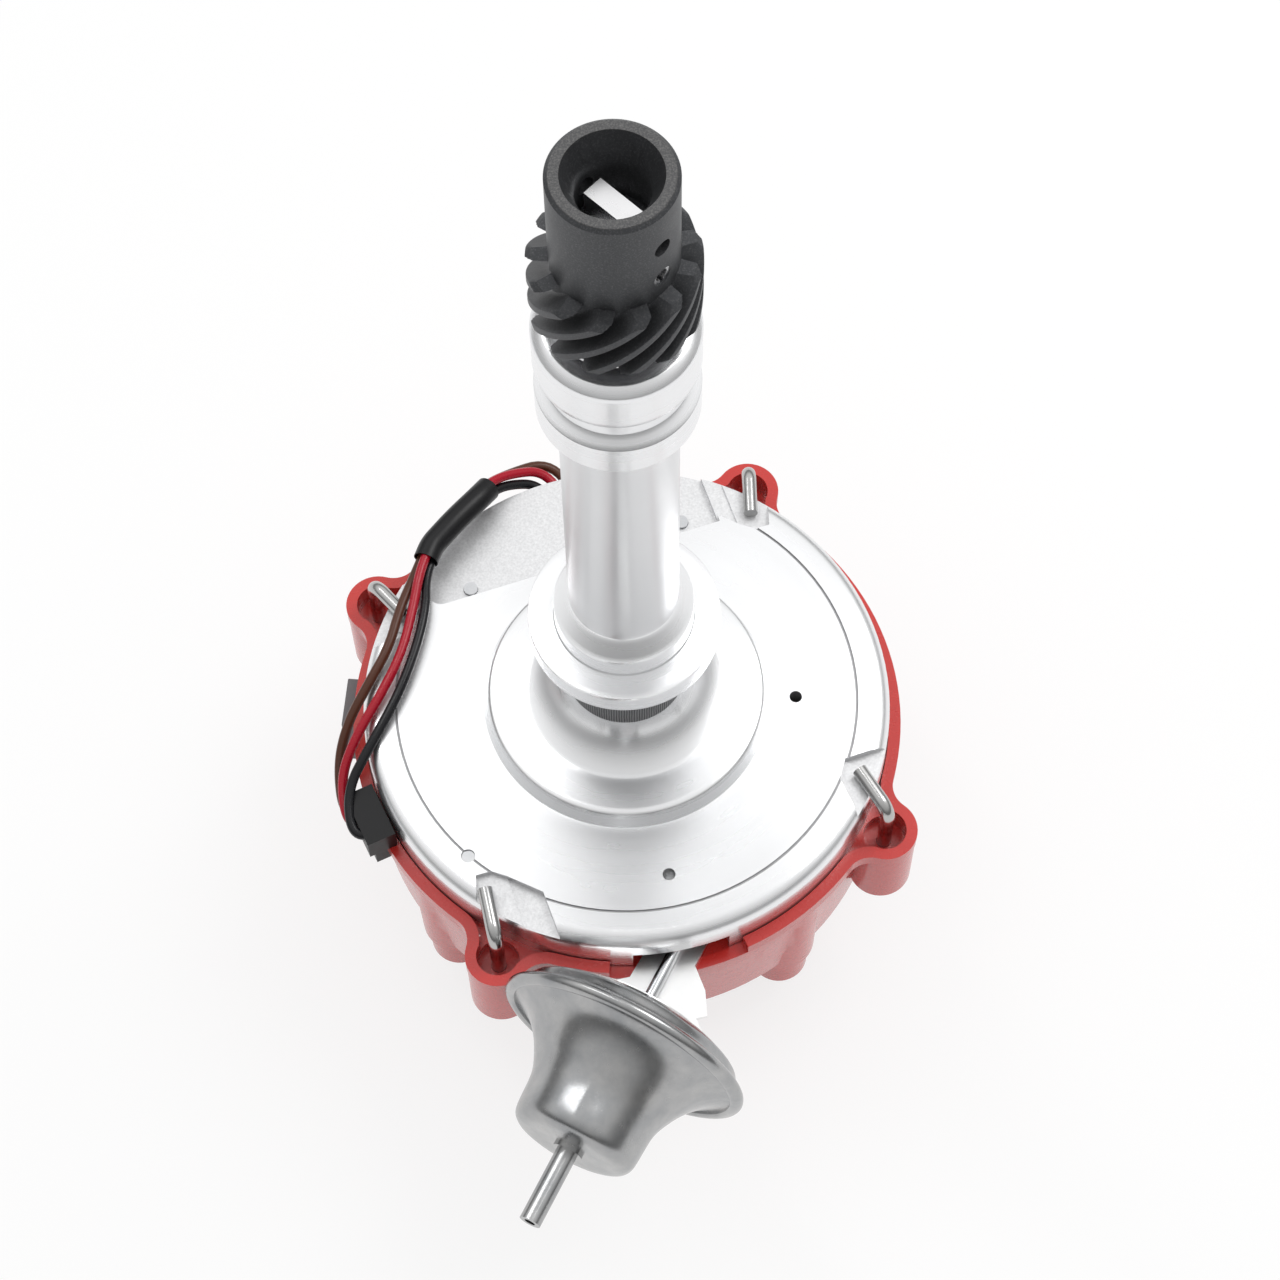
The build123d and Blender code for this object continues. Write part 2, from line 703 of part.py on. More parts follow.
def bracket_notch():
    """Gap in the cap's lip for the vacuum bracket and rod."""
    first, last = lip_notch
    middle = (first + last) / 2
    inner = flange_r - lip_width - 0.3
    wedge = make_face(Polyline(at(inner, first), at(inner, middle), at(inner, last),
                               at(flange_r + 9, last), at(flange_r + 14, middle),
                               at(flange_r + 9, first), close=True))
    low = bracket_top_z - bracket_thickness - stand_off
    return block(wedge, low, flange_top_z + 1)


def corners_of(half):
    return [(sx * half[0], sy * half[1]) for sx in (-1, 1) for sy in (-1, 1)]


cap_inner_r = bowl_inner_r - 0.2
button_boss_z = deck_z + deck_thickness + 5.0
spring_seat_r = 5.2
spring_pocket = 12.0


def outward_box(angle, inner, across, z_low, z_high, depth):
    """Box that stands out from a radius, square to it."""
    box = Box(depth, across, z_high - z_low, align=(Align.MIN, Align.CENTER, Align.MIN))
    return Rot(0, 0, angle) * Pos(inner, 0, z_low) * box


def plug_notch():
    """Seat for the lead plug's foot, cut down through the flange beside the bowl."""
    return outward_box(plug_deg, plug_inner_r - slip, plug_foot_width + 2 * slip,
                       plug_foot_z - slip, flange_top_z + 1, 12)


def make_lead_plug():
    """Three-way plug: body above the lip and a narrower foot down into it."""
    depth, across, height = plug_size
    low = flange_top_z + slip
    body = outward_box(plug_deg, plug_inner_r, across, low, low + height, depth)
    foot = outward_box(plug_deg, plug_inner_r, plug_foot_width, plug_foot_z, low, depth - 2)
    return body + foot


plug_foot_z = flange_top_z - 10.4


def terminal_block_seat():
    low = flange_top_z - block_drop
    return outward_box(block_deg, block_inner_r, block_size[1] + 2 * slip, low, low + block_size[2] + slip, 10)


def make_terminal_block():
    """Grey connector body of the coil, seated in the cap's side."""
    depth, across, height = block_size
    low = flange_top_z - block_drop + slip
    body = outward_box(block_deg, block_inner_r, across, low, low + height - slip, depth)
    for shift in (-3.6, 3.6):
        blade_slot = Pos(block_inner_r + depth / 2, shift, low) * Box(1.4, 5.2, 9.0, align=seated)
        body -= Rot(0, 0, block_deg) * blade_slot
    return body


def make_terminals():
    """Aluminium posts in the towers, each with an electrode inside the cap."""
    posts = []
    width, height = terminal_blade
    for angle in tower_angles:
        post = Pos(tower_circle_r, 0, tower_end_z + 1.5) * Cylinder(
            terminal_r, deck_z + deck_thickness - tower_end_z - 1.5, align=seated)
        blade = Pos(terminal_inner_r, 0, deck_z + deck_thickness) * Box(
            tower_circle_r - terminal_inner_r, width, 2.0, align=(Align.MIN, Align.CENTER, Align.MIN))
        tip = Pos(terminal_inner_r, 0, deck_z + deck_thickness) * Box(
            3.0, width, blade_z + 2.0 - deck_z - deck_thickness, align=(Align.MIN, Align.CENTER, Align.MIN))
        posts.append(Rot(0, 0, angle) * (post + blade + tip))
    return Compound(children=posts)


# ---- coil and cover ---------------------------------------------------------------------

coil_top = deck_z - coil_gap


def make_coil_core():
    """Laminated core: an outer frame with a centre limb."""
    outer = Rectangle(*core_size)
    window = Rectangle(core_size[0] / 2 - 1.5 * core_limb, core_size[1] - 2 * core_limb)
    middle = core_size[0] / 4 - core_limb / 4
    for side in (-1, 1):
        outer -= Pos(side * middle, 0) * window
    frame = block(outer, coil_top - core_height, coil_top)
    for x, y in corners_of(coil_screw_xy):
        frame -= Pos(x, y, coil_top - core_height) * Cylinder(cover_screw_r, core_height, align=seated)
    return frame


def make_coil_winding():
    """Potted windings on the core's centre limb."""
    across = core_size[0] - 2 * core_limb - 2 * winding_margin
    along = core_size[1] - 2 * core_limb - 2 * winding_margin
    low = coil_top - core_height - winding_rise
    body = block(RectangleRounded(across, along, 4.0), low, deck_z - seal_thickness - slip)
    limb = Pos(0, 0, coil_top - core_height) * Box(core_limb, core_size[1], core_height, align=seated)
    return body - limb


seal_thickness = 1.5


def make_button_parts():
    """Carbon button, its spring and the seal round them under the deck."""
    top = blade_z - blade_thickness - contact_rise - 0.6
    button = disc(button_r, 0, top - button_length, top)
    length = top - button_length - (deck_z - seal_thickness)
    spring = Pos(0, 0, deck_z - seal_thickness) * spring_tube(2.0, 0.3, length)
    seal = disc(seal_r, button_r, deck_z - seal_thickness, deck_z)
    return button, spring, seal


button_length = 6.0


def make_coil_screws():
    screws = []
    for x, y in corners_of(coil_screw_xy):
        shank = Pos(x, y, coil_top - core_height) * Cylinder(
            cover_screw_r - slip, core_height + coil_gap + deck_thickness - 1, align=seated)
        head = Pos(x, y, coil_top - core_height - 2.2) * Cylinder(cover_head_r, 2.2, align=seated)
        screws.append(shank + head)
    return Compound(children=screws)


def cover_outline(inset):
    return RectangleRounded(cover_size[0] - 2 * inset, cover_size[1] - 2 * inset, cover_corner - inset)


def make_coil_cover():
    shell = block(cover_outline(0), cover_bottom_z, deck_z)
    edge = shell.faces().sort_by(Axis.Z)[0].edges()
    shell = fillet(edge, 4.0)
    cavity = block(cover_outline(cover_wall), cover_bottom_z + cover_wall, deck_z)
    shell -= cavity
    for x, y in corners_of(cover_screw_xy):
        post = Pos(x, y, cover_bottom_z + cover_wall) * Cylinder(
            cover_head_r + 1.6, deck_z - cover_bottom_z - cover_wall, align=seated)
        shell += post
        shell -= Pos(x, y, cover_bottom_z) * Cylinder(cover_screw_r, deck_z - cover_bottom_z, align=seated)
        shell -= Pos(x, y, cover_bottom_z) * Cylinder(cover_head_r + slip, 8.0, align=seated)
    return shell


def make_cover_screws():
    screws = []
    seat_z = cover_bottom_z + 8.0
    for x, y in corners_of(cover_screw_xy):
        shank = Pos(x, y, seat_z) * Cylinder(
            cover_screw_r - slip, deck_z + deck_thickness - 1.2 - seat_z, align=seated)
        head = Pos(x, y, seat_z - 2.6) * Cylinder(cover_head_r, 2.6, align=seated)
        screws.append(shank + head)
    return Compound(children=screws)


# ---- latches ----------------------------------------------------------------------------

latch_axis_z = face_z - latch_pad_depth + latch_rod_r + 0.04


def make_latch(index):
    """J-shaped latch rod: hook over the bowl, bend, shank through the ear, slotted head."""
    angle = ear_angles[index]
    shank_low = ear_column_z + 0.6
    path = FilletPolyline(
        (-latch_reach, 0, latch_axis_z), (0, 0, latch_axis_z), (0, 0, shank_low), radius=latch_bend_r)
    hook = sweep(Plane((-latch_reach, 0, latch_axis_z), z_dir=(1, 0, 0)) * Circle(latch_rod_r), path)
    head = Pos(0, 0, shank_low) * Cylinder(latch_head_r, latch_head_height, align=seated)
    head -= Pos(0, 0, shank_low) * Box(2 * latch_head_r, 1.2, 1.1, align=seated)
    centre = at(ear_centre_r, angle)
    return Pos(centre.X, centre.Y, 0) * Rot(0, 0, angle + latch_turns[index]) * (hook + head)


def make_latch_springs():
    springs = []
    low = ear_column_z + 0.6 + latch_head_height + slip
    high = ear_column_z + spring_pocket - slip
    for angle in ear_angles:
        centre = at(ear_centre_r, angle, low)
        springs.append(Pos(*centre) * spring_tube(3.4, 0.5, high - low))
    return Compound(children=springs)


# ---- vacuum advance ---------------------------------------------------------------------

def revolved_canister(*points):
    """Turned sheet form about the canister's axis, from (radius, distance) points."""
    face = make_face(Plane.XZ * Polyline(*points, close=True))
    return canister_frame() * revolve(face, Axis.Z)


def cup_section(distance, half, corner):
    return Pos(0, 0, distance) * RectangleRounded(2 * half, 2 * half, corner)


def make_vacuum_bell():
    """Flared bell that passes from a round mouth into a rounded square cup."""
    mouth = canister_rim_at
    stations = ((mouth, 30.6, 30.5), (mouth + 2.2, 26.6, 26.0), (mouth + 7.0, 22.4, 20.0),
                (mouth + 13.0, 19.8, 14.5), (mouth + 20.0, 18.4, 9.0), (mouth + 31.0, 16.6, 7.0))
    outer = loft([cup_section(*station) for station in stations])
    end = outer.faces().sort_by(Axis.Z)[-1]
    outer = fillet(end.edges(), 3.6)
    inner = loft([cup_section(d, half - canister_wall, corner - canister_wall)
                  for d, half, corner in stations[:-1]]
                 + [cup_section(mouth + 31.0 - canister_wall * 2, 14.6, 5.4)])
    bell = outer - inner
    brim = disc(rim_inner_r, 30.0, mouth - 0.01, mouth + canister_wall)
    bell = bell + brim
    bell -= Pos(0, 0, mouth + 25) * Cylinder(nipple_r + 1.2, 20, align=seated)
    return canister_frame() * bell


rim_inner_r = 33.4


def make_vacuum_shell():
    """Back shell, with its rim rolled over the bell's brim."""
    rim = canister_rim_at
    back = rim - shell_depth
    lip = rim_inner_r
    hole = rod_r + 1.2
    return revolved_canister(
        (hole, back + 1), (24.0, back + 1), (29.2, rim - 4.6), (30.4, rim - 1.0), (lip, rim - 0.1),
        (lip, rim + canister_wall), (31.4, rim + canister_wall), (31.4, rim + 2.0),
        (canister_rim_r - 0.8, rim + 2.0), (canister_rim_r, rim + 1.0), (canister_rim_r, rim - 0.8),
        (canister_rim_r - 0.9, rim - 1.9), (31.4, rim - 1.9), (30.2, rim - 5.4), (24.6, back), (hole, back))


def make_vacuum_nipple():
    """Hose tube with a flange seated in the bell's end."""
    start = canister_rim_at + 31.0 - canister_wall * 2
    tube = Pos(0, 0, start) * Cylinder(nipple_r, nipple_length + 4, align=seated)
    tube += Pos(0, 0, start) * Cylinder(nipple_r + 1.2, canister_wall * 2 + 1.0, align=seated)
    tube -= Pos(0, 0, start) * Cylinder(nipple_bore_r, nipple_length + 4, align=seated)
    return canister_frame() * tube


def make_vacuum_rod():
    """Pull rod: slotted eye on the pickup pin, shank, and the plate behind the diaphragm."""
    plate_at = canister_rim_at - 5.0
    shank = Pos(0, 0, rod_eye_r - 1) * Cylinder(rod_r, plate_at - rod_eye_r + 2, align=seated)
    eye = Rot(90, 0, 0) * Cylinder(rod_eye_r, rod_eye_thickness)
    slot = Rot(90, 0, 0) * extrude(SlotCenterToCenter(2 * rod_pin_play, 2 * (rod_pin_r + running)), 8, both=True)
    plate = Pos(0, 0, plate_at) * Cylinder(14.0, 1.2, align=seated)
    return canister_frame() * (shank + eye - slot + plate)


def make_diaphragm():
    low = canister_rim_at - 3.8
    body = disc(22.0, 0, low, low + 1.2) + disc(15.0, 0, low, low + 2.0)
    return canister_frame() * body


def make_vacuum_spring():
    low = canister_rim_at - 1.7
    high = canister_rim_at + 29.0 - slip - pull_travel
    return canister_frame() * (Pos(0, 0, low) * spring_tube(9.0, 0.8, high - low))


def beside_rod(along, across):
    """Plan position given along the vacuum rod from the pickup pin, and across it."""
    frame = canister_frame()
    point = frame.origin + frame.z_dir * along + frame.x_dir * across
    return point.X, point.Y


def bracket_screw_places():
    return [beside_rod(*place) for place in bracket_screws_at]


bracket_top_z = canister_z - rod_r - 0.5


def make_vacuum_bracket():
    """Stamped plate from under the bowl's floor out to the canister, turned up against the shell."""
    low = bracket_top_z - bracket_thickness
    back = canister_rim_at - shell_depth
    edge = ((31, -11), (36, -11.5), (40, -9), (44, -6.5), (56, -6.5), (61, -12), (67, -15.5), (69, -13.2),
            (72.5, -17.5), (back, -17.5), (back, 20), (74.5, 20), (73.5, 16), (66.5, 7.5), (45, 6.5),
            (42, 12), (31, 12))
    plate = block(make_face(Polyline(*[beside_rod(*place) for place in edge], close=True)), low, bracket_top_z)
    flange = disc(20.0, rod_r + 1.2, back - bracket_thickness, back)
    plate += canister_frame() * flange
    for x, y in bracket_screw_places():
        plate -= Pos(x, y, low) * Cylinder(bracket_screw_r + slip, bracket_thickness, align=seated)
    return plate


def make_bracket_screws():
    screws = []
    low = bracket_top_z - bracket_thickness
    for x, y in bracket_screw_places():
        shank = Pos(x, y, low) * Cylinder(bracket_screw_r - slip / 2, floor_z - low - 0.2, align=seated)
        head = Pos(x, y, low - 2.0) * Cylinder(3.2, 2.0, align=seated)
        screws.append(shank + head)
    return Compound(children=screws)


# ---- module and capacitor ---------------------------------------------------------------

def make_module():
    """Flat module on the bowl's floor, under the as-cast land."""
    low = floor_z - module_height
    edge = [at(47, 60), at(62, 67), at(63, 80), at(63, 96), at(63, 112), at(63, 128), at(62, 145),
            at(46, 151), at(42, 105)]
    body = block(make_face(Polyline(*edge, close=True)), low, floor_z)
    for r, a in land_screws:
        body -= Pos(*at(r, a, low)) * Cylinder(module_screw_r + slip, module_height, align=seated)
    return body


def make_module_screws():
    """Two screws through the module and the floor, ends showing in the as-cast land."""
    screws = []
    for r, a in land_screws:
        low = floor_z - module_height
        top = face_z - land_depth + 0.9
        shank = Pos(*at(r, a, low)) * Cylinder(module_screw_r, top - low, align=seated)
        head = Pos(*at(r, a, low - 2.0)) * Cylinder(3.6, 2.0, align=seated)
        screws.append(shank + head)
    return Compound(children=screws)


def make_capacitor():
    """Can lying along the wall, with its strap under the floor."""
    radius, angle = ground_hole
    can = Rot(90, 0, 0) * Cylinder(capacitor_r, capacitor_length)
    can = Pos(radius - 8.6, 0, floor_z - capacitor_r - 0.4) * can
    strap = Pos(radius - 3.1, 0, floor_z - 1.2) * Box(8.8, 8.0, 1.1, align=seated)
    body = Rot(0, 0, angle) * (can + strap)
    return body - Pos(*at(radius, angle, floor_z - 3)) * Cylinder(ground_hole_r, 3, align=seated)


def make_capacitor_screw():
    low = floor_z - 1.2
    shank = Pos(*at(*ground_hole, low)) * Cylinder(
        ground_hole_r - slip, face_z - 0.6 - low, align=seated)
    head = Pos(*at(*ground_hole, low - 2)) * Cylinder(2.6, 2, align=seated)
    return shank + head


# ---- leads ------------------------------------------------------------------------------

def lead_path(points):
    """Straight runs joined by the largest arcs that the runs leave room for."""
    vectors = [Vector(*p) for p in points]
    runs = [(b - a).length for a, b in zip(vectors, vectors[1:])]
    radii = []
    for k in range(1, len(vectors) - 1):
        turn = (vectors[k] - vectors[k - 1]).get_angle(vectors[k + 1] - vectors[k])
        radii.append(0.45 * min(runs[k - 1], runs[k]) / tan(radians(turn) / 2))
    print("lead radii", [round(r, 1) for r in radii])
    return FilletPolyline(*vectors, radius=radii)


def make_lead(points):
    path = lead_path(points)
    section = Plane(path @ 0, z_dir=path % 0) * Circle(lead_r)
    tube = sweep(section, path)
    print("lead length", round(path.length, 1), "volume ratio", round(tube.volume / (pi * lead_r ** 2 * path.length), 4))
    return tube


# Bundle centres from the bowl's rim over the face to the left latch, X and Y in bowl radii
bundle = ((-0.4825, 0.9453, -51.0), (-0.5526, 0.8443, -48.0), (-0.6452, 0.7405, -47.0),
          (-0.7335, 0.6339, -47.0), (-0.7798, 0.5063, -46.8))
tails = {
    "brown": ((-0.8555, 0.3647, -47.0), (-0.8962, 0.2034, -47.2), (-0.9762, 0.0645, -49.2),
              (-1.0603, -0.0645, -54.2), (-1.1024, -0.2048, -59.8)),
    "red": ((-0.805, 0.3562, -46.4), (-0.8471, 0.1739, -46.9), (-0.9285, 0.0084, -48.0),
            (-1.0266, -0.1431, -51.4), (-1.0884, -0.2805, -57.2)),
    "black": ((-0.756, 0.3562, -46.9), (-0.7994, 0.1725, -47.2), (-0.8668, -0.007, -48.0),
              (-0.9663, -0.1879, -49.6), (-1.0603, -0.3366, -55.0)),
}
bundle_clock = {"brown": 330.0, "red": 90.0, "black": 210.0}
row_turn = {"brown": (10.1, -1.0), "red": (5.5, 1.4), "black": (2.3, 0.2)}     # beyond the bowl, rise
lead_row = {"brown": -3.3, "red": 0.0, "black": 3.3}
plug_entry = {"brown": (-4.4, 1.9, 2.1), "red": (0.0, 4.0, 2.5), "black": (4.4, 6.4, 2.9)}


def over_bowl(x, y, z):
    return Vector(x * bowl_r, y * bowl_r, z)


def lead_points(name):
    """Route of one lead: grommet row, its place in the bundle, and its tail to the plug."""
    turn = radians(grommet_deg)
    across = Vector(-sin(turn), cos(turn), 0) * lead_row[name]
    reach, climb = row_turn[name]
    points = [at(bowl_inner_r - 2.9, grommet_deg, grommet_z) + across,
              at(bowl_r + reach, grommet_deg, grommet_z + climb) + across]
    clock = radians(bundle_clock[name])
    centres = [over_bowl(*p) for p in bundle]
    ends = [at(bowl_r + 6.3, grommet_deg + 8, grommet_z + 1.5)] + centres + [over_bowl(*tails[name][0])]
    for before, here, after in zip(ends, ends[1:], ends[2:]):
        ahead = (after - before).normalized()
        side = ahead.cross(Vector(0, 0, 1)).normalized()
        over = side.cross(ahead)
        points.append(here + (side * cos(clock) + over * sin(clock)) * bundle_r)
    points += [over_bowl(*p) for p in tails[name]]
    shift, rise, loop = plug_entry[name]
    turn = radians(plug_deg)
    along = Vector(-sin(turn), cos(turn), 0) * shift
    out = plug_inner_r + plug_size[0]
    points.append(at(out + loop, plug_deg, flange_top_z + rise) + along)
    points.append(at(out - 2.5, plug_deg, flange_top_z + rise) + along)
    return points


def sleeve_path():
    centres = [over_bowl(*p) for p in bundle]
    first = centres[0] + (centres[1] - centres[0]) * 0.5
    last = centres[-2] + (centres[-1] - centres[-2]) * 0.5
    return lead_path([first] + centres[1:-1] + [last])


def make_sleeve():
    path = sleeve_path()
    ring = Circle(sleeve_r) - Circle(sleeve_r - sleeve_wall)
    return sweep(Plane(path @ 0, z_dir=path % 0) * ring, path)


# ---- assembly ---------------------------------------------------------------------------

def all_parts():
    shim, thrust = make_washers()
    magnet, coil, retainer = make_pickup_rings()
    button, button_spring, seal = make_button_parts()
    leads = {name: make_lead(lead_points(name)) for name in lead_row}
    plug = make_lead_plug()
    grommet = make_grommet()
    for lead in leads.values():
        plug -= lead
        grommet -= lead
    boss_foot = floor_z - hub_boss_height
    parts = {
        "housing": make_housing(),
        "upper_bushing": make_bushing(nose_z - upper_bushing_length, nose_z),
        "lower_bushing": make_bushing(boss_foot, boss_foot + lower_bushing_length),
        "oil_felt": disc(bearing_bore_r, shaft_r + stand_off, boss_foot + lower_bushing_length + 1,
                         boss_foot + lower_bushing_length + 1 + felt_length),
        "mainshaft": make_mainshaft(),
        "drive_gear": make_drive_gear(),
        "gear_pin": make_gear_pin(),
        "shim_washer": shim,
        "thrust_washer": thrust,
        "pickup_plate": make_pickup_plate(),
        "pickup_magnet": magnet,
        "pickup_coil": coil,
        "pickup_retainer": retainer,
        "pole_piece": make_pole_piece(),
        "timer_core": make_timer_core(),
        "cam_plate": make_cam_plate(),
        "cam_retainer": make_cam_retainer(),
        "weight_a": make_weight(1),
        "weight_b": make_weight(-1),
        "advance_spring_a": make_advance_spring(1),
        "advance_spring_b": make_advance_spring(-1),
        "rotor": make_rotor(),
        "rotor_blade": make_rotor_blade(),
        "rotor_contact": make_rotor_contact(),
        "rotor_screws": make_rotor_screws(),
        "cap": make_cap(),
        "cap_terminals": make_terminals(),
        "carbon_button": button,
        "button_spring": button_spring,
        "coil_seal": seal,
        "coil_core": make_coil_core(),
        "coil_winding": make_coil_winding(),
        "coil_screws": make_coil_screws(),
        "coil_cover": make_coil_cover(),
        "cover_screws": make_cover_screws(),
        "terminal_block": make_terminal_block(),
        "latch_springs": make_latch_springs(),
        "vacuum_bell": make_vacuum_bell(),
        "vacuum_shell": make_vacuum_shell(),
        "vacuum_nipple": make_vacuum_nipple(),
        "vacuum_rod": make_vacuum_rod(),
        "vacuum_diaphragm": make_diaphragm(),
        "vacuum_spring": make_vacuum_spring(),
        "vacuum_bracket": make_vacuum_bracket(),
        "bracket_screws": make_bracket_screws(),
        "module": make_module(),
        "module_screws": make_module_screws(),
        "capacitor": make_capacitor(),
        "capacitor_screw": make_capacitor_screw(),
        "lead_sleeve": make_sleeve(),
        "lead_plug": plug,
        "lead_grommet": grommet,
    }
    for index, place in enumerate(("back_right", "left", "front_left", "right")):
        parts["latch_" + place] = make_latch(index)
    for name, lead in leads.items():
        parts["lead_" + name] = lead
    return parts


if __name__ == "__main__":
    os.makedirs("parts", exist_ok=True)
    for name, part in all_parts().items():
        export_step(part, os.path.join("parts", name + ".step"))
        print(name, round(part.volume), len(part.solids()))
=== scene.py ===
import json
import math

import bmesh
import bpy
import numpy as np
from mathutils import Matrix, Vector


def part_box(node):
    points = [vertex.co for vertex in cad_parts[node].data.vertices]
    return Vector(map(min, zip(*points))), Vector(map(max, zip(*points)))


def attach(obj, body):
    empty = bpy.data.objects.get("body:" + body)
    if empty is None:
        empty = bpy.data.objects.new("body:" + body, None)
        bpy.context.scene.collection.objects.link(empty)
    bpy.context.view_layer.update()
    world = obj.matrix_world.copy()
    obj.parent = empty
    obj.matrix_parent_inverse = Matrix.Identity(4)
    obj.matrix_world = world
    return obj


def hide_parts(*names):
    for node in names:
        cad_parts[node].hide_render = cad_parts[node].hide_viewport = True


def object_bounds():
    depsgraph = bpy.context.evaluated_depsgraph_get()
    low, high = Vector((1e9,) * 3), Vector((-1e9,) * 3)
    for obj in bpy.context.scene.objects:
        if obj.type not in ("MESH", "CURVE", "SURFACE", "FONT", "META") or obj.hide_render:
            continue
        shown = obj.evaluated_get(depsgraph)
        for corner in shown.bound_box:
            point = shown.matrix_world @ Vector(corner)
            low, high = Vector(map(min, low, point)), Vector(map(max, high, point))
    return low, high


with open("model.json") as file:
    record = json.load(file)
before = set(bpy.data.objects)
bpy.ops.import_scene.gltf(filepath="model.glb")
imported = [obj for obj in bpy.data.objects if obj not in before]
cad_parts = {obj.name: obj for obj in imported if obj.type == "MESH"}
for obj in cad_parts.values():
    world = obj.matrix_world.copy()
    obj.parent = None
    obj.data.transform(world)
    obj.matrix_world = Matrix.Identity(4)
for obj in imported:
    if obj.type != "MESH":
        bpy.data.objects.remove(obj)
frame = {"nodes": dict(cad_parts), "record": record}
cad_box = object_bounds()
nodes = frame["nodes"]
record = frame["record"]
body_of_node = {node: body for body, members in record["behaviour"]["bodies"].items() for node in members}
slot_of_node = {part["node"]: part["material_slot"] for part in record["subparts"]}


# ---- finishes ---------------------------------------------------------------------------

class Tree:
    """A node tree under construction, with short ways to add nodes."""

    def __init__(self, tree):
        self.tree = tree

    def add(self, kind, values=None, **properties):
        node = self.tree.nodes.new(kind)
        for key, value in properties.items():
            setattr(node, key, value)
        for socket, value in (values or {}).items():
            if isinstance(value, bpy.types.NodeSocket):
                self.tree.links.new(value, node.inputs[socket])
            else:
                node.inputs[socket].default_value = value
        return node

    def math(self, operation, a, b=0.0):
        return self.add("ShaderNodeMath", {0: a, 1: b}, operation=operation).outputs[0]

    def scaled(self, value, share, start):
        """The value times share, plus start."""
        return self.math("ADD", self.math("MULTIPLY", value, share), start)

    def ramp(self, factor, *stops):
        """Grey ramp from (position, grey) stops."""
        node = self.add("ShaderNodeValToRGB", {"Fac": factor})
        elements = node.color_ramp.elements
        while len(elements) < len(stops):
            elements.new(0.5)
        for element, (position, grey) in zip(elements, stops):
            element.position = position
            element.color = (grey, grey, grey, 1)
        return node.outputs["Color"]


class Finish(Tree):
    """A material under construction: its tree, its shader and the nodes that finishes share."""

    def __init__(self, name, colour, metallic=0.0, roughness=0.5):
        self.material = bpy.data.materials.new(name)
        self.material.use_nodes = True
        super().__init__(self.material.node_tree)
        self.shader = self.tree.nodes["Principled BSDF"]
        self.shader.inputs["Base Color"].default_value = (*colour, 1)
        self.shader.inputs["Metallic"].default_value = metallic
        self.shader.inputs["Roughness"].default_value = roughness

    def place(self):
        """Object coordinates, so that a pattern stays with its piece."""
        return self.add("ShaderNodeTexCoord").outputs["Object"]

    def noise(self, vector, scale, detail=2.0, roughness=0.5):
        values = {"Vector": vector, "Scale": scale, "Detail": detail, "Roughness": roughness}
        return self.add("ShaderNodeTexNoise", values).outputs["Fac"]

    def mix(self, factor, a, b):
        """Colour that goes from a to b as factor goes from 0 to 1."""
        node = self.add("ShaderNodeMix", data_type="RGBA")
        sockets = (node.inputs[0], node.inputs[6], node.inputs[7])
        for socket, value in zip(sockets, (factor, a, b)):
            if isinstance(value, bpy.types.NodeSocket):
                self.tree.links.new(value, socket)
            else:
                socket.default_value = (*value, 1)
        return node.outputs[2]

    def bump(self, height, distance, strength=1.0, under=None):
        values = {"Height": height, "Distance": distance, "Strength": strength}
        if under is not None:
            values["Normal"] = under
        return self.add("ShaderNodeBump", values).outputs["Normal"]

    def drive(self, socket, value):
        self.tree.links.new(value, self.shader.inputs[socket])


def tint(colour, share):
    """The colour times share, kept within white."""
    return [min(1, c * share) for c in colour]


def rings(finish, where, scale):
    """Noise of the distance from the axis and the height alone, so its lines are a lathe's marks."""
    parts = finish.add("ShaderNodeSeparateXYZ", {0: where})
    across = finish.add("ShaderNodeCombineXYZ", {0: parts.outputs[0], 1: parts.outputs[1]}).outputs[0]
    radius = finish.add("ShaderNodeVectorMath", {0: across}, operation="LENGTH").outputs["Value"]
    line = finish.add("ShaderNodeCombineXYZ", {0: radius, 1: parts.outputs[2]}).outputs[0]
    return finish.noise(line, scale, detail=1.0)


def turned_aluminium(name, colour=(0.90, 0.905, 0.915), roughness=0.27):
    """Lathe-turned aluminium: fine rings that spread the gloss outward, slow changes of polish."""
    finish = Finish(name, colour, metallic=1.0, roughness=roughness)
    where = finish.place()
    parts = finish.add("ShaderNodeSeparateXYZ", {0: where})
    back = finish.math("MULTIPLY", parts.outputs[1], -1.0)
    finish.drive("Tangent", finish.add("ShaderNodeCombineXYZ", {0: back, 1: parts.outputs[0]}).outputs[0])
    finish.shader.inputs["Anisotropic"].default_value = 0.6
    finish.shader.inputs["Anisotropic Rotation"].default_value = 0.25
    lines = rings(finish, where, scale=520.0)
    broad = rings(finish, where, scale=160.0)
    haze = finish.noise(where, scale=28.0, detail=3.0)
    polish = finish.scaled(broad, 0.10, finish.math("MULTIPLY", haze, 0.06))
    finish.drive("Roughness", finish.math("ADD", polish, roughness - 0.08))
    finish.drive("Base Color", finish.mix(haze, tint(colour, 0.96), colour))
    finish.drive("Normal", finish.bump(lines, distance=4e-7))
    return finish.material


def cast_aluminium(name, colour=(0.74, 0.742, 0.75)):
    """As-cast aluminium: fine grain with soft pits and a dull skin."""
    finish = Finish(name, colour, metallic=0.95, roughness=0.46)
    where = finish.place()
    grain = finish.noise(where, scale=1500.0, detail=4.0, roughness=0.7)
    pits = finish.noise(where, scale=420.0, detail=3.0, roughness=0.6)
    bright = finish.ramp(grain, (0.35, 0.0), (0.7, 1.0))
    finish.drive("Base Color", finish.mix(bright, tint(colour, 0.80), colour))
    finish.drive("Roughness", finish.scaled(pits, 0.25, 0.34))
    skin = finish.bump(grain, distance=3e-5, strength=0.7)
    finish.drive("Normal", finish.bump(pits, distance=6e-5, strength=0.7, under=skin))
    return finish.material


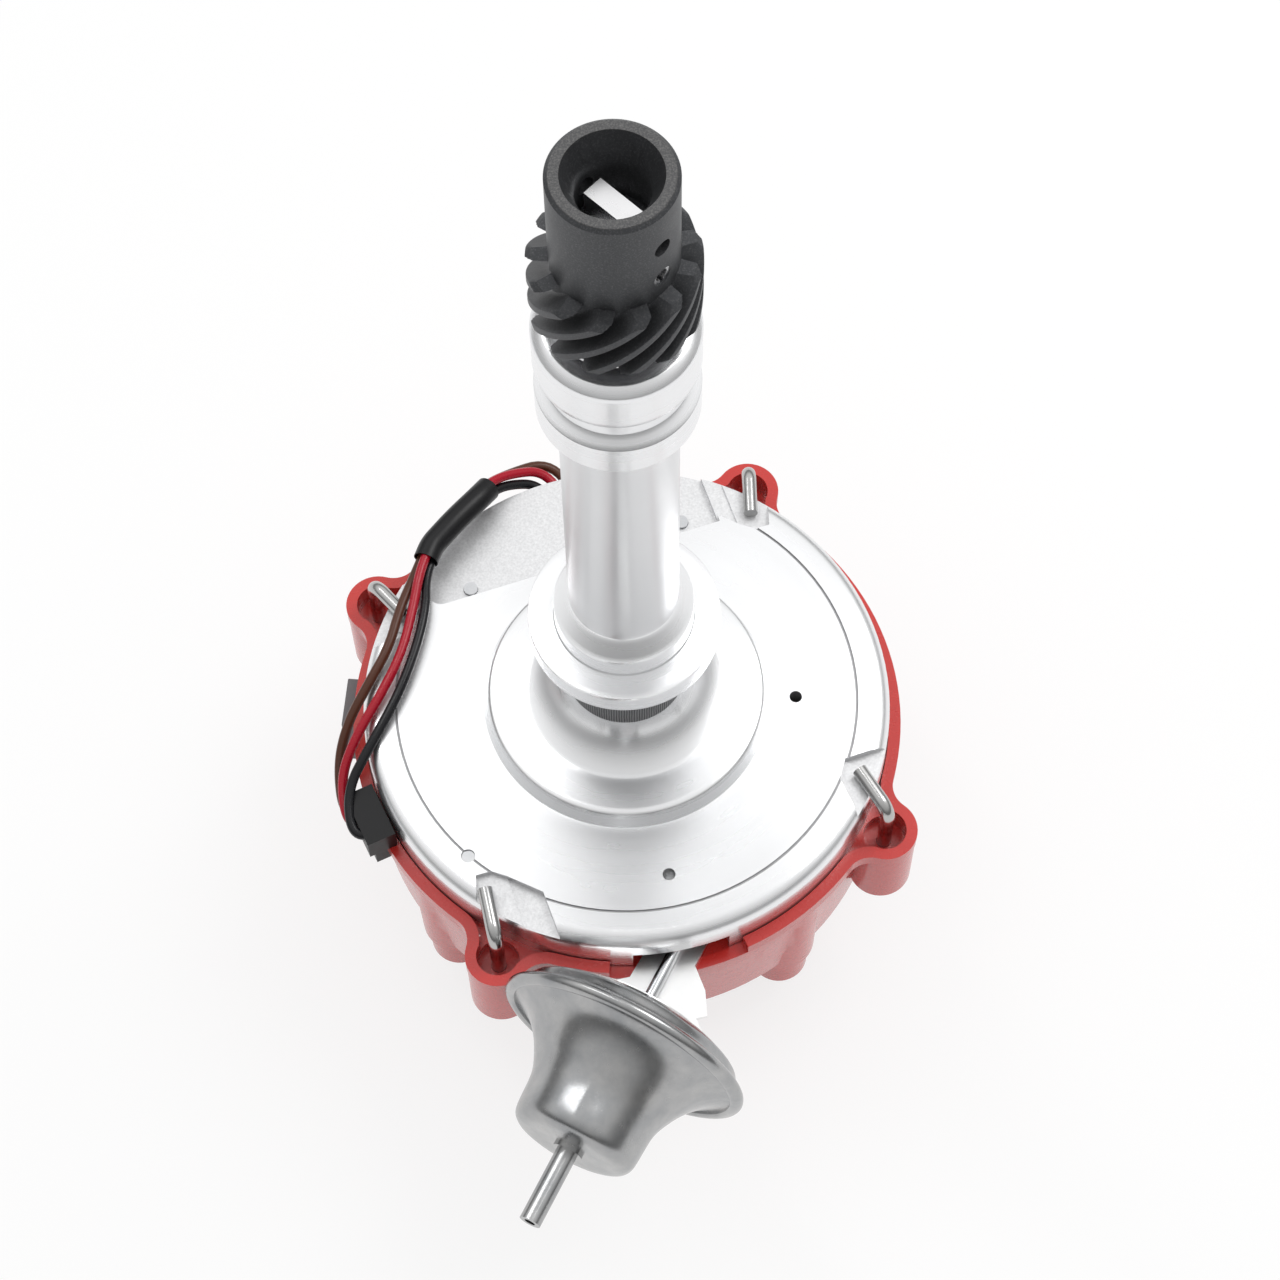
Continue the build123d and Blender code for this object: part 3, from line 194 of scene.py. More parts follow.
def zinc_plated(name, colour=(0.66, 0.67, 0.69), roughness=0.24, mottle=0.5, dent=1.6e-4):
    """Bright zinc plate: a sheen with cloudy cool and warm patches, and the faint waves of pressed sheet."""
    finish = Finish(name, colour, metallic=1.0, roughness=roughness)
    where = finish.place()
    cloud = finish.noise(where, scale=95.0, detail=4.0, roughness=0.6)
    spots = finish.noise(where, scale=520.0, detail=3.0, roughness=0.6)
    cool = [c * (1 - f * mottle) for c, f in zip(colour, (0.30, 0.285, 0.275))]
    warm = [c * f for c, f in zip(colour, (1.02, 1.01, 0.99))]
    finish.drive("Base Color", finish.mix(finish.ramp(cloud, (0.3, 0.0), (0.7, 1.0)), cool, warm))
    finish.drive("Roughness", finish.scaled(spots, 0.2 * mottle, roughness - 0.1 * min(mottle, 0.9)))
    waves = finish.noise(where, scale=45.0)
    skin = finish.bump(spots, distance=5e-6, strength=mottle)
    finish.drive("Normal", finish.bump(waves, distance=dent, strength=0.3 * mottle, under=skin))
    return finish.material


def ground_steel(name, colour, roughness):
    """Ground or drawn metal: fine rings and a slight haze."""
    finish = Finish(name, colour, metallic=1.0, roughness=roughness)
    where = finish.place()
    lines = rings(finish, where, scale=1800.0)
    haze = finish.noise(where, scale=180.0, detail=3.0)
    finish.drive("Roughness", finish.scaled(haze, 0.2, roughness - 0.1))
    finish.drive("Base Color", finish.mix(haze, tint(colour, 0.85), colour))
    finish.drive("Normal", finish.bump(lines, distance=5e-6))
    return finish.material


def phosphated_steel(name, colour=(0.062, 0.064, 0.068), rubbed_above=0.19685):
    """Dark phosphated steel: dull, finely crystalline, rubbed lighter above the height of the open end."""
    finish = Finish(name, colour, metallic=0.72, roughness=0.5)
    where = finish.place()
    crystal = finish.noise(where, scale=2300.0, detail=3.0, roughness=0.7)
    patches = finish.noise(where, scale=130.0, detail=4.0, roughness=0.65)
    dark = finish.mix(patches, tint(colour, 0.72), tint(colour, 1.45))
    speck = finish.ramp(crystal, (0.50, 0.0), (0.68, 1.0))
    dark = finish.mix(finish.math("MULTIPLY", speck, 0.35), dark, (0.20, 0.20, 0.205))
    worn = finish.ramp(crystal, (0.45, 0.0), (0.70, 1.0))
    rubbed = finish.mix(worn, (0.085, 0.085, 0.087), (0.17, 0.168, 0.165))
    height = finish.add("ShaderNodeSeparateXYZ", {0: where}).outputs[2]
    end = finish.math("GREATER_THAN", height, rubbed_above)
    finish.drive("Base Color", finish.mix(end, dark, rubbed))
    finish.drive("Roughness", finish.scaled(patches, 0.25, 0.36))
    finish.drive("Normal", finish.bump(crystal, distance=1.6e-5, strength=0.8))
    return finish.material


def dark_metal(name, colour, roughness=0.5, metallic=0.8, grain=900.0):
    """Sintered, laminated or blackened metal with a grainy skin."""
    finish = Finish(name, colour, metallic, roughness)
    speck = finish.noise(finish.place(), scale=grain, detail=4.0, roughness=0.7)
    finish.drive("Base Color", finish.mix(speck, tint(colour, 0.65), tint(colour, 1.3)))
    finish.drive("Roughness", finish.scaled(speck, 0.25, roughness - 0.12))
    finish.drive("Normal", finish.bump(speck, distance=2.5e-5, strength=0.7))
    return finish.material


def moulded(name, colour, roughness=0.3, grain=0.25, coat=0.0, gloss=0.5):
    """Moulded plastic or rubber: slight mottle of the pigment and a faint orange peel."""
    finish = Finish(name, colour, roughness=roughness)
    where = finish.place()
    peel = finish.noise(where, scale=340.0, detail=3.0)
    pigment = finish.noise(where, scale=36.0, detail=3.0, roughness=0.6)
    fine = finish.noise(where, scale=1700.0)
    finish.shader.inputs["Specular IOR Level"].default_value = gloss
    finish.shader.inputs["Coat Weight"].default_value = coat
    finish.shader.inputs["Coat Roughness"].default_value = 0.12
    finish.drive("Base Color", finish.mix(pigment, tint(colour, 0.93), tint(colour, 1.05)))
    finish.drive("Roughness", finish.scaled(peel, 0.10, roughness - 0.05))
    skin = finish.bump(fine, distance=4e-6, strength=grain)
    finish.drive("Normal", finish.bump(peel, distance=1.2e-5, strength=grain, under=skin))
    return finish.material


def knurled(name, colour=(0.20, 0.20, 0.205), cuts=150.0):
    """Straight knurl round a neck: the ridge is 0.5 + 0.5 sin(cuts times the angle, plus grain), with painted
    shade in the cuts and a painted highlight on the ridges.
    """
    finish = Finish(name, colour, metallic=0.9, roughness=0.42)
    where = finish.place()
    parts = finish.add("ShaderNodeSeparateXYZ", {0: where})
    angle = finish.math("ARCTAN2", parts.outputs[1], parts.outputs[0])
    grain = finish.noise(where, scale=420.0, detail=3.0, roughness=0.7)
    wave = finish.math("SINE", finish.scaled(angle, cuts, finish.math("MULTIPLY", grain, 4.0)))
    ridge_with_painted_shade = finish.scaled(wave, 0.5, 0.5)
    # Colour from dark to light along the ridge: painted shade in the cuts, painted highlight on the ridges
    finish.drive("Base Color", finish.mix(ridge_with_painted_shade, tint(colour, 0.45), tint(colour, 1.7)))
    finish.drive("Normal", finish.bump(ridge_with_painted_shade, distance=1.5e-4, strength=0.8))
    return finish.material


finishes = {
    "cast_aluminium": turned_aluminium("turned_aluminium"),
    "cast_aluminium_rough": cast_aluminium("cast_aluminium"),
    "knurled_neck": knurled("knurled_neck"),
    "barrel": turned_aluminium("turned_barrel", (0.78, 0.785, 0.795), roughness=0.31),
    # A darker grey cast finish for the groove: painted shade in its hollow
    "groove_shade": cast_aluminium("groove_painted_shade", (0.42, 0.42, 0.43)),
    "bronze": dark_metal("sintered_bronze", (0.45, 0.28, 0.13), roughness=0.45, metallic=0.9),
    "felt": moulded("oiled_felt", (0.33, 0.28, 0.20), roughness=0.9, grain=1.0),
    "steel": ground_steel("ground_shaft", (0.93, 0.93, 0.94), roughness=0.3),
    "gear_steel": phosphated_steel("phosphated_gear"),
    "washer_dark": dark_metal("dark_washer", (0.09, 0.09, 0.10)),
    "zinc_steel": zinc_plated("plated_steel"),
    "zinc_latch": zinc_plated("plated_latch", (0.50, 0.50, 0.50), roughness=0.2, mottle=0.4),
    "zinc_plate": zinc_plated("plated_canister", (0.45, 0.452, 0.457),
                              roughness=0.24, mottle=0.9, dent=3e-4),
    "bright_plate": zinc_plated("plated_bracket", (0.88, 0.885, 0.89), roughness=0.3, mottle=0.2),
    "sintered_steel": dark_metal("sintered_steel", (0.17, 0.17, 0.18)),
    "spring_steel": ground_steel("spring_wire", (0.55, 0.55, 0.56), roughness=0.28),
    "magnet": dark_metal("bonded_ferrite", (0.05, 0.05, 0.055), roughness=0.7, metallic=0.1),
    "coil_bobbin": moulded("coil_bobbin", (0.06, 0.055, 0.05), roughness=0.5),
    "rotor_plastic": moulded("rotor_moulding", (0.035, 0.035, 0.04), roughness=0.42),
    "brass": ground_steel("stamped_brass", (0.72, 0.56, 0.27), roughness=0.25),
    "red_plastic": moulded("red_cap", (0.58, 0.026, 0.020), roughness=0.27, grain=0.3, coat=0.35),
    "terminal_aluminium": turned_aluminium("turned_terminals", (0.80, 0.80, 0.82), roughness=0.3),
    "carbon": moulded("pressed_carbon", (0.02, 0.02, 0.02), roughness=0.6, grain=0.8),
    "black_rubber": moulded("black_rubber", (0.008, 0.008, 0.009), roughness=0.6, grain=0.6, gloss=0.25),
    "laminated_iron": dark_metal("laminated_iron", (0.12, 0.12, 0.125),
                                 roughness=0.45, metallic=0.85, grain=500.0),
    "potting": moulded("potting_resin", (0.02, 0.02, 0.022), roughness=0.2),
    "cover_plastic": moulded("red_cover", (0.55, 0.026, 0.020), roughness=0.3, grain=0.35, coat=0.3),
    "grey_plastic": moulded("grey_terminal_block", (0.15, 0.15, 0.155), roughness=0.5, grain=0.5),
    "module_plastic": moulded("module_case", (0.03, 0.03, 0.033), roughness=0.45, grain=0.5),
    "black_sleeve": moulded("lead_sleeving", (0.006, 0.006, 0.007), roughness=0.36, grain=0.9, gloss=0.3),
    "black_plastic": moulded("black_plug", (0.007, 0.007, 0.008), roughness=0.4, grain=0.5, gloss=0.3),
    "lead_red": moulded("red_insulation", (0.40, 0.003, 0.018), roughness=0.27, grain=0.25, gloss=0.4),
    "lead_brown": moulded("brown_insulation", (0.085, 0.028, 0.014),
                          roughness=0.33, grain=0.25, gloss=0.35),
    "lead_black": moulded("black_insulation", (0.007, 0.007, 0.009),
                          roughness=0.28, grain=0.25, gloss=0.35),
}


# ---- making and settling pieces ---------------------------------------------------------

merge_distance = 2e-6  # metres: corners of loose triangles that are nearer than this are one
flat_angle = 0.3  # degrees: neighbouring faces that meet at less are one flat
crease_angle = 32.0  # degrees: edges of a node's surface that bend more stay creases


def put(name, data):
    """A new object of this name in the scene, for a mesh, curve, light or camera."""
    thing = bpy.data.objects.new(name, data)
    bpy.context.scene.collection.objects.link(thing)
    return thing


def settle(piece, node, finish=None, stands_for=True):
    """Gives a finished piece its finish, and lets it ride with, and stand for, a node."""
    slot = slot_of_node[node]
    if not piece.data.materials:
        piece.data.materials.append(finishes[finish or slot])
    if stands_for:
        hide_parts(node)
    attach(piece, body_of_node[node])


def mark_creases(work, angle):
    """Shades an edge smooth where its two faces meet at under the angle, and sharp elsewhere."""
    for edge in work.edges:
        edge.smooth = len(edge.link_faces) == 2 and edge.calc_face_angle(0) < math.radians(angle)


def smooth_copy(node, bevel, finish=None):
    """The node's own surface, its points merged, flats joined, curves shaded smooth and edges eased."""
    mesh = nodes[node].data.copy()
    mesh.materials.clear()
    work = bmesh.new()
    work.from_mesh(mesh)
    bmesh.ops.remove_doubles(work, verts=work.verts, dist=merge_distance)
    bmesh.ops.dissolve_limit(work, angle_limit=math.radians(flat_angle), verts=work.verts, edges=work.edges)
    for face in work.faces:
        face.smooth = True
    mark_creases(work, crease_angle)
    work.to_mesh(mesh)
    work.free()
    piece = put(node + "_dressed", mesh)
    if bevel:
        ease = piece.modifiers.new("eased_edges", "BEVEL")
        ease.width = bevel
        ease.segments = 2
        ease.limit_method = "ANGLE"
        ease.angle_limit = math.radians(crease_angle)
        ease.harden_normals = True
        ease.use_clamp_overlap = True
    settle(piece, node, finish)


def surface(name, points, smooth_angle=35.0):
    """Mesh of a grid of points (u, v, xyz): faces join neighbours, and each row v closes on itself."""
    rows, columns = points.shape[:2]
    index = np.arange(rows * columns).reshape(rows, columns)
    a, b = index[:-1], index[1:]
    quads = np.stack([a, b, np.roll(b, -1, 1), np.roll(a, -1, 1)], -1)
    mesh = bpy.data.meshes.new(name)
    mesh.from_pydata(points.reshape(-1, 3).tolist(), [], quads.reshape(-1, 4).tolist())
    mesh.polygons.foreach_set("use_smooth", np.ones(len(mesh.polygons), bool))
    work = bmesh.new()
    work.from_mesh(mesh)
    bmesh.ops.recalc_face_normals(work, faces=work.faces)
    mark_creases(work, smooth_angle)
    work.to_mesh(mesh)
    work.free()
    return put(name, mesh)


def cut_faces(piece, in_the_way):
    """Deletes each face for which in_the_way(its lowest height, its highest, its widest radius) holds."""
    work = bmesh.new()
    work.from_mesh(piece.data)
    faces = []
    for face in work.faces:
        heights = [corner.co.z for corner in face.verts]
        if in_the_way(min(heights), max(heights), max(corner.co.xy.length for corner in face.verts)):
            faces.append(face)
    bmesh.ops.delete(work, geom=faces, context="FACES")
    work.to_mesh(piece.data)
    work.free()


# ---- springs ----------------------------------------------------------------------------

up = (0, 0, 1)
ear_start, ear_circle = 62.4, 0.0774  # degrees and metres: the first latch ear, and the ears' circle
# The vacuum advance lies on a level line that starts at the pull rod's pin
vacuum_heading = math.radians(-118.4)
along = Vector((math.cos(vacuum_heading), math.sin(vacuum_heading), 0))
pull_pin = Vector((0.03712, -0.02007, -0.0635))
coil_at = 0.0831  # metres from the pin to the vacuum spring's foot
canister_rim_at = 0.0848  # metres from the pin to the canister's rim


def wire_coil(name, centre, axis, radius, wire, length, turns, steps=28, sides=10):
    """Round wire on a helix, with its end turns flat.

    At t from 0 to 1 the centre line is radius (cos 2 pi turns t, sin 2 pi turns t) across the
    axis. Along it the wire lies flat for half a turn, climbs evenly, and ends with a flat half turn.
    Wire is the wire's radius. Its first and last ring shrink to the share tip, and all but close it.
    """
    t = np.linspace(0, 1, int(turns * steps) + 1)
    climb = np.clip((t * turns - 0.5) / (turns - 1.0), 0, 1)
    axis = np.array(Vector(axis).normalized())
    side = np.array(Vector(axis).orthogonal().normalized())
    over = np.cross(axis, side)
    angle = 2 * np.pi * turns * t
    out = np.cos(angle)[:, None] * side + np.sin(angle)[:, None] * over
    line = np.array(centre) + out * radius + axis * (wire + climb * (length - 2 * wire))[:, None]
    turn = np.linspace(0, 2 * np.pi, sides, endpoint=False)
    ring = np.cos(turn)[None, :, None] * out[:, None, :] + np.sin(turn)[None, :, None] * axis
    tip = 0.02
    taper = np.clip(np.minimum(t, 1 - t) * turns * steps, tip, 1.0)[:, None, None]
    return surface(name, line[:, None, :] + ring * wire * taper)


low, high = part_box("latch_springs")
for k in range(4):
    ear = math.radians(ear_start + 90 * k)
    place = (ear_circle * math.cos(ear), ear_circle * math.sin(ear), low.z)
    coil = wire_coil(f"latch_coil_{k}", place, up, radius=0.0034, wire=0.0005, length=high.z - low.z, turns=5)
    settle(coil, "latch_springs", stands_for=k == 0)

low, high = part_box("button_spring")
coil = wire_coil("button_coil", (0, 0, low.z), up, radius=0.002, wire=0.0003, length=high.z - low.z, turns=6)
settle(coil, "button_spring")

coil = wire_coil("vacuum_coil", pull_pin + along * coil_at, along, radius=0.009, wire=0.0008,
                 length=0.0261, turns=6)
settle(coil, "vacuum_spring")

for node, side in (("advance_spring_a", 1), ("advance_spring_b", -1)):
    low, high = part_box(node)
    start = Vector((low.x if side > 0 else high.x, 0, (low.z + high.z) / 2))
    coil = wire_coil(node + "_coil", start, (side, 0, 0), radius=0.0015, wire=0.0003,
                     length=high.x - low.x, turns=14, steps=16, sides=8)
    settle(coil, node)


# ---- leads ------------------------------------------------------------------------------

# Control points from the bowl's grommet to the plug, in metres
lead_routes = {
    "lead_brown": (
        (-0.0121, 0.0622, -0.0601), (-0.0165, 0.0798, -0.0611), (-0.0358, 0.0680, -0.0517),
        (-0.0407, 0.0610, -0.0488), (-0.0472, 0.0537, -0.0479), (-0.0536, 0.0459, -0.0479),
        (-0.0570, 0.0367, -0.0477), (-0.0610, 0.0260, -0.0470), (-0.0639, 0.0145, -0.0472),
        (-0.0696, 0.0046, -0.0492), (-0.0756, -0.0046, -0.0542), (-0.0786, -0.0146, -0.0598),
        (-0.0767, -0.0293, -0.0617), (-0.0725, -0.0275, -0.0617),
    ),
    "lead_red": (
        (-0.0153, 0.0614, -0.0601), (-0.0186, 0.0745, -0.0587), (-0.0338, 0.0681, -0.0496),
        (-0.0392, 0.0605, -0.0463), (-0.0459, 0.0529, -0.0453), (-0.0523, 0.0452, -0.0453),
        (-0.0556, 0.0361, -0.0451), (-0.0574, 0.0254, -0.0464), (-0.0604, 0.0124, -0.0469),
        (-0.0662, 0.0006, -0.0480), (-0.0732, -0.0102, -0.0514), (-0.0776, -0.0200, -0.0572),
        (-0.0753, -0.0335, -0.0596), (-0.0707, -0.0315, -0.0596),
    ),
    "lead_black": (
        (-0.0185, 0.0606, -0.0601), (-0.0210, 0.0706, -0.0599), (-0.0336, 0.0661, -0.0517),
        (-0.0383, 0.0591, -0.0488), (-0.0449, 0.0518, -0.0479), (-0.0510, 0.0444, -0.0479),
        (-0.0541, 0.0360, -0.0477), (-0.0539, 0.0254, -0.0469), (-0.0570, 0.0123, -0.0472),
        (-0.0618, -0.0005, -0.0480), (-0.0689, -0.0134, -0.0496), (-0.0756, -0.0240, -0.0550),
        (-0.0739, -0.0377, -0.0572), (-0.0689, -0.0355, -0.0572),
    ),
}
lead_radius = 0.00135

for name, route in lead_routes.items():
    curve = bpy.data.curves.new(name + "_curve", "CURVE")
    curve.dimensions = "3D"
    spline = curve.splines.new("NURBS")
    spline.points.add(len(route) - 1)
    for point, place in zip(spline.points, route):
        point.co = (*place, 1)
    spline.order_u = 3
    spline.use_endpoint_u = True
    spline.resolution_u = 10
    curve.bevel_depth = lead_radius
    curve.bevel_resolution = 5
    curve.use_fill_caps = True
    lead = put(name + "_insulated", curve)
    settle(lead, name)


# ---- nodes that keep their own shape ----------------------------------------------------

# Width of the eased edges, in metres
eased = {
    "housing": 0.00025, "cap": 0.0004, "coil_cover": 0.0004, "lead_plug": 0.0004, "terminal_block": 0.0003,
    "vacuum_bracket": 0.0002, "mainshaft": 0.00025, "module": 0.0004, "rotor": 0.0004,
}
made_anew = {
    "latch_springs", "button_spring", "vacuum_spring", "advance_spring_a", "advance_spring_b",
    "lead_red", "lead_brown", "lead_black", "vacuum_bell", "vacuum_shell",
}
for node in sorted(set(nodes) - made_anew):
    smooth_copy(node, eased.get(node, 0.0), finish="bright_plate" if node == "vacuum_bracket" else None)


# ---- vacuum canister --------------------------------------------------------------------

def canister_surface(name, rows, columns=128, power=8, cut=0.72, wall=0.0006):
    """Sheet skin whose section goes from a circle to an octagon with soft corners.

    Each row is (d, h, w) in mm: at distance d beyond the rim the section has half size h, and
    w goes from 0 for the circle to 1 for the octagon. The radius at angle a is h (1 - w + w / p),
    where p to the power 8 is |cos a|^8 + |sin a|^8 + (cut (|cos a| + |sin a|))^8.
    """
    a = np.linspace(0, 2 * np.pi, columns, endpoint=False)
    d, h, w = (column[:, None] for column in np.array(rows, float).T)
    c, s = np.abs(np.cos(a)), np.abs(np.sin(a))
    p = (c ** power + s ** power + (cut * (c + s)) ** power) ** (1 / power)
    radius = h * (1 - w + w / p) / 1000
    ahead = np.array(along)
    level = np.cross(ahead, up)
    middle = np.array(pull_pin) + ahead * (canister_rim_at + d / 1000)
    out = np.cos(a)[None, :, None] * level + np.sin(a)[None, :, None] * np.array(up, float)
    skin = surface(name, middle[:, None, :] + radius[..., None] * out, smooth_angle=80.0)
    rounding = skin.modifiers.new("rounding", "SUBSURF")
    rounding.levels = rounding.render_levels = 2
    sheet = skin.modifiers.new("sheet", "SOLIDIFY")
    sheet.thickness = wall
    sheet.offset = -1.0
    return skin


bell_flange = [(1.0, 33.2, 0), (1.0, 31.3, 0)]
bell_flare = [
    (1.25, 30.4, 0), (1.9, 29.0, 0), (3.1, 27.0, 0), (5.0, 24.8, 0), (7.5, 22.7, 0.05),
    (10.0, 21.1, 0.2), (12.5, 19.9, 0.5), (15.0, 18.8, 0.85), (17.5, 18.0, 1.0),
]
bell_cup = [(20.5, 17.7, 1.0), (24.0, 17.6, 1.0), (27.3, 17.4, 1.0)]
bell_end = [
    (28.6, 17.0, 1.0), (29.8, 16.1, 1.0), (30.6, 14.7, 1.0), (30.95, 13.0, 0.9), (31.0, 11.0, 0.6),
    (31.0, 7.0, 0.2), (31.0, 4.1, 0), (31.0, 2.95, 0),
]
settle(canister_surface("flared_bell", bell_flange + bell_flare + bell_cup + bell_end), "vacuum_bell")

shell_back = [
    (-8.0, 2.9, 0), (-8.0, 4.5, 0), (-8.0, 22.0, 0), (-7.95, 24.2, 0), (-7.5, 25.4, 0),
    (-5.7, 29.4, 0), (-5.0, 30.2, 0), (-2.6, 31.0, 0), (-2.0, 31.5, 0), (-1.9, 32.4, 0),
]
shell_roll = [
    (-1.5, 33.8, 0), (-0.7, 34.5, 0), (0.2, 34.7, 0), (1.1, 34.3, 0), (1.75, 33.4, 0),
    (2.0, 32.4, 0), (1.85, 31.7, 0), (1.5, 31.4, 0), (1.0, 31.4, 0), (0.4, 31.4, 0),
]
settle(canister_surface("rolled_shell", shell_back + shell_roll), "vacuum_shell")


# ---- gear teeth -------------------------------------------------------------------------

def helical_teeth(name, teeth=13, foot=0.1485, width=0.0195, twist=68.0, chamfer=0.0013):
    """Toothed rim: radius r(b) round each tooth, b turned by twist z / width, ends chamfered.

    r is read from tooth_form, (degrees from the tooth's middle, radius in mm), and cut to the
    chamfer tip - max(0, chamfer - z) - max(0, chamfer - (width - z)). A narrower ring at each
    end closes the rim down to the hub.
    """
    tip, under_foot, under_end = 0.0187, 0.0125, 0.0130
    rows_between = 33
    half = np.array((
        (0.0, 18.7), (1.6, 18.7), (3.0, 18.7), (4.1, 18.66), (4.6, 18.3), (5.2, 17.4), (5.8, 16.5),
        (6.5, 15.4), (7.3, 14.4), (8.2, 13.75), (9.6, 13.45), (11.6, 13.4), (13.84, 13.4),
    ))
    tooth_form = np.concatenate([(half * (-1, 1))[:0:-1], half[:-1]])
    pitch = 360.0 / teeth
    b = np.radians((tooth_form[None, :, 0] + pitch * np.arange(teeth)[:, None]).reshape(-1))
    r = np.tile(tooth_form[:, 1], teeth) / 1000
    between = np.linspace(chamfer, width - chamfer, rows_between)
    z = np.concatenate([(0.0, chamfer / 2), between, (width - chamfer / 2, width)])
    limit = tip - np.maximum(0, chamfer - z) - np.maximum(0, chamfer - (width - z))
    rim = np.minimum(r[None, :], limit[:, None])
    rim = np.concatenate([np.full((1, len(r)), under_foot), rim, np.full((1, len(r)), under_end)])
    z = np.concatenate([z[:1], z, z[-1:]])
    turn = b[None, :] + np.radians(twist) * z[:, None] / width
    height = np.broadcast_to(foot + z[:, None], rim.shape)
    return surface(name, np.stack([rim * np.cos(turn), rim * np.sin(turn), height], -1), smooth_angle=40.0)


def is_tooth(lowest, highest, widest):
    """A face of the dressed gear between the ends of its teeth and outside the hub."""
    rim_foot, rim_end, hub_radius = 0.1484, 0.16805, 0.0128
    return rim_foot < lowest and highest < rim_end and widest > hub_radius


cut_faces(bpy.data.objects["drive_gear_dressed"], is_tooth)


# ---- casting and stem -------------------------------------------------------------------

face_height = -0.05105  # just under the bowl's turned face


def is_stem(lowest, highest, widest):
    """A face of the dressed housing that stands on the turned face, outside the shaft's bore."""
    rise, bore_radius = -0.0500, 0.0083
    return lowest > face_height and highest > rise and widest > bore_radius


def mark_casting(casting):
    """Gives the sunk lands and their walls the as-cast finish (1), and the groove a darker cast finish (2),
    painted shade in its hollow.
    """
    land_foot, land_top, wall_foot, rim_radius = -0.0560, -0.0525, -0.0562, 0.0706
    groove_foot, groove_inside, groove_outside = -0.0516, 0.0618, 0.0627
    for key in ("cast_aluminium_rough", "groove_shade"):
        casting.data.materials.append(finishes[key])
    work = bmesh.new()
    work.from_mesh(casting.data)
    for face in work.faces:
        middle = face.calc_center_median()
        level = face.normal.z > 0.999 and land_foot < middle.z < land_top
        wall = abs(face.normal.z) < 0.02 and middle.z > wall_foot and middle.xy.length < rim_radius
        shallow = middle.z < face_height and min(corner.co.z for corner in face.verts) > groove_foot
        in_groove = shallow and all(
            groove_inside < corner.co.xy.length < groove_outside for corner in face.verts)
        # The groove's faces take the darker finish, painted shade
        face.material_index = 2 if in_groove else int(level or wall)
    work.to_mesh(casting.data)
    work.free()


def arc_through(a, b, c, t):
    """Points at t in 0..1 on the circle through a, b and c, going the shorter way from a to c.

    Its middle m lies as far from a as from b and c, and each point is m plus |a - m| times
    (cos, sin) of an angle that goes evenly from a's to c's.
    """
    left = 2 * np.array([b - a, c - a])
    m = np.linalg.solve(left, np.array([b @ b - a @ a, c @ c - a @ a]))
    first, last = (math.atan2(*(q - m)[::-1]) for q in (a, c))
    angle = first + ((last - first + math.pi) % (2 * math.pi) - math.pi) * t
    return m + np.linalg.norm(a - m) * np.stack([np.cos(angle), np.sin(angle)], 1)


def stem_profile():
    """Radius and height of the stem's outside, in mm, from the boss's foot on the face up to the nose."""
    flare_foot, flare_waist, flare_top = (25.7, -44.75), (19.8, -40.4), (16.3, -34.4)
    flare_points = 37
    boss = [
        (38.6, -51.0), (37.1, -46.6), (36.85, -46.15), (36.3, -45.8), (27.2, -45.25), (26.4, -45.1),
        flare_foot,
    ]
    t = np.linspace(0, 1, flare_points)[1:]
    flare = arc_through(*np.array((flare_foot, flare_waist, flare_top)), t)
    neck = [(16.0, -33.4), (16.0, -7.7), (16.3, -7.2)]
    collar = [(24.1, -7.2), (24.45, -7.05), (24.6, -6.7), (24.6, -0.35), (24.5, -0.1), (24.25, 0.0)]
    pilot = [(18.15, 0.0), (17.9, 0.25), (17.9, 6.8), (17.75, 7.15), (14.15, 12.3)]
    barrel = [(14.0, 12.6), (14.0, 104.2), (14.2, 104.6)]
    lower_band = [(18.5, 107.9), (18.8, 108.3), (18.8, 117.2), (18.6, 117.45), (16.85, 120.7)]
    waist = [(16.6, 121.0), (16.6, 127.0), (16.8, 127.2)]
    upper_band = [(18.6, 127.6), (18.8, 127.9), (18.8, 139.3), (18.5, 139.75), (16.6, 141.35)]
    nose = [(16.2, 141.5), (8.0, 141.5)]
    return np.array([*boss, *flare, *neck, *collar, *pilot, *barrel, *lower_band, *waist, *upper_band, *nose])


def dense(profile, step):
    """Profile with points put in evenly so that no stretch is longer than step; its corners stay."""
    gaps = np.linalg.norm(np.diff(profile, axis=0), axis=1)
    parts = [np.linspace(a, b, max(2, int(g / step) + 2))[:-1] for a, b, g in zip(profile, profile[1:], gaps)]
    return np.concatenate([*parts, profile[-1:]])


def lathe(name, profile, around=288):
    """Surface of revolution: (r cos a, r sin a, z) for each profile point (r, z) and each angle a."""
    a = np.linspace(0, 2 * np.pi, around, endpoint=False)
    r, z = profile[:, 0, None] / 1000, profile[:, 1, None] / 1000
    points = np.stack([r * np.cos(a), r * np.sin(a), np.broadcast_to(z, (len(profile), around))], -1)
    return surface(name, points)


def mark_stem(stem):
    """Gives the neck between flare and collar the knurled finish (1) and the long barrel its own (2)."""
    neck_foot, neck_top, neck_radius = -0.0335, -0.0078, 0.0165
    barrel_foot, barrel_top, barrel_radius = 0.0125, 0.1045, 0.0142
    for key in ("knurled_neck", "barrel"):
        stem.data.materials.append(finishes[key])
    height = np.array([face.center.z for face in stem.data.polygons])
    radius = np.array([face.center.xy.length for face in stem.data.polygons])
    neck = (height > neck_foot) & (height < neck_top) & (radius < neck_radius)
    barrel = (height > barrel_foot) & (height < barrel_top) & (radius < barrel_radius)
    stem.data.polygons.foreach_set("material_index", (neck + 2 * barrel).astype(np.int32))


casting = bpy.data.objects["housing_dressed"]
cut_faces(casting, is_stem)
mark_casting(casting)
settle(helical_teeth("gear_teeth"), "drive_gear", stands_for=False)
stem = lathe("turned_stem", dense(stem_profile(), step=1.4))
settle(stem, "housing", stands_for=False)
mark_stem(stem)


# ---- camera, light and floor ------------------------------------------------------------

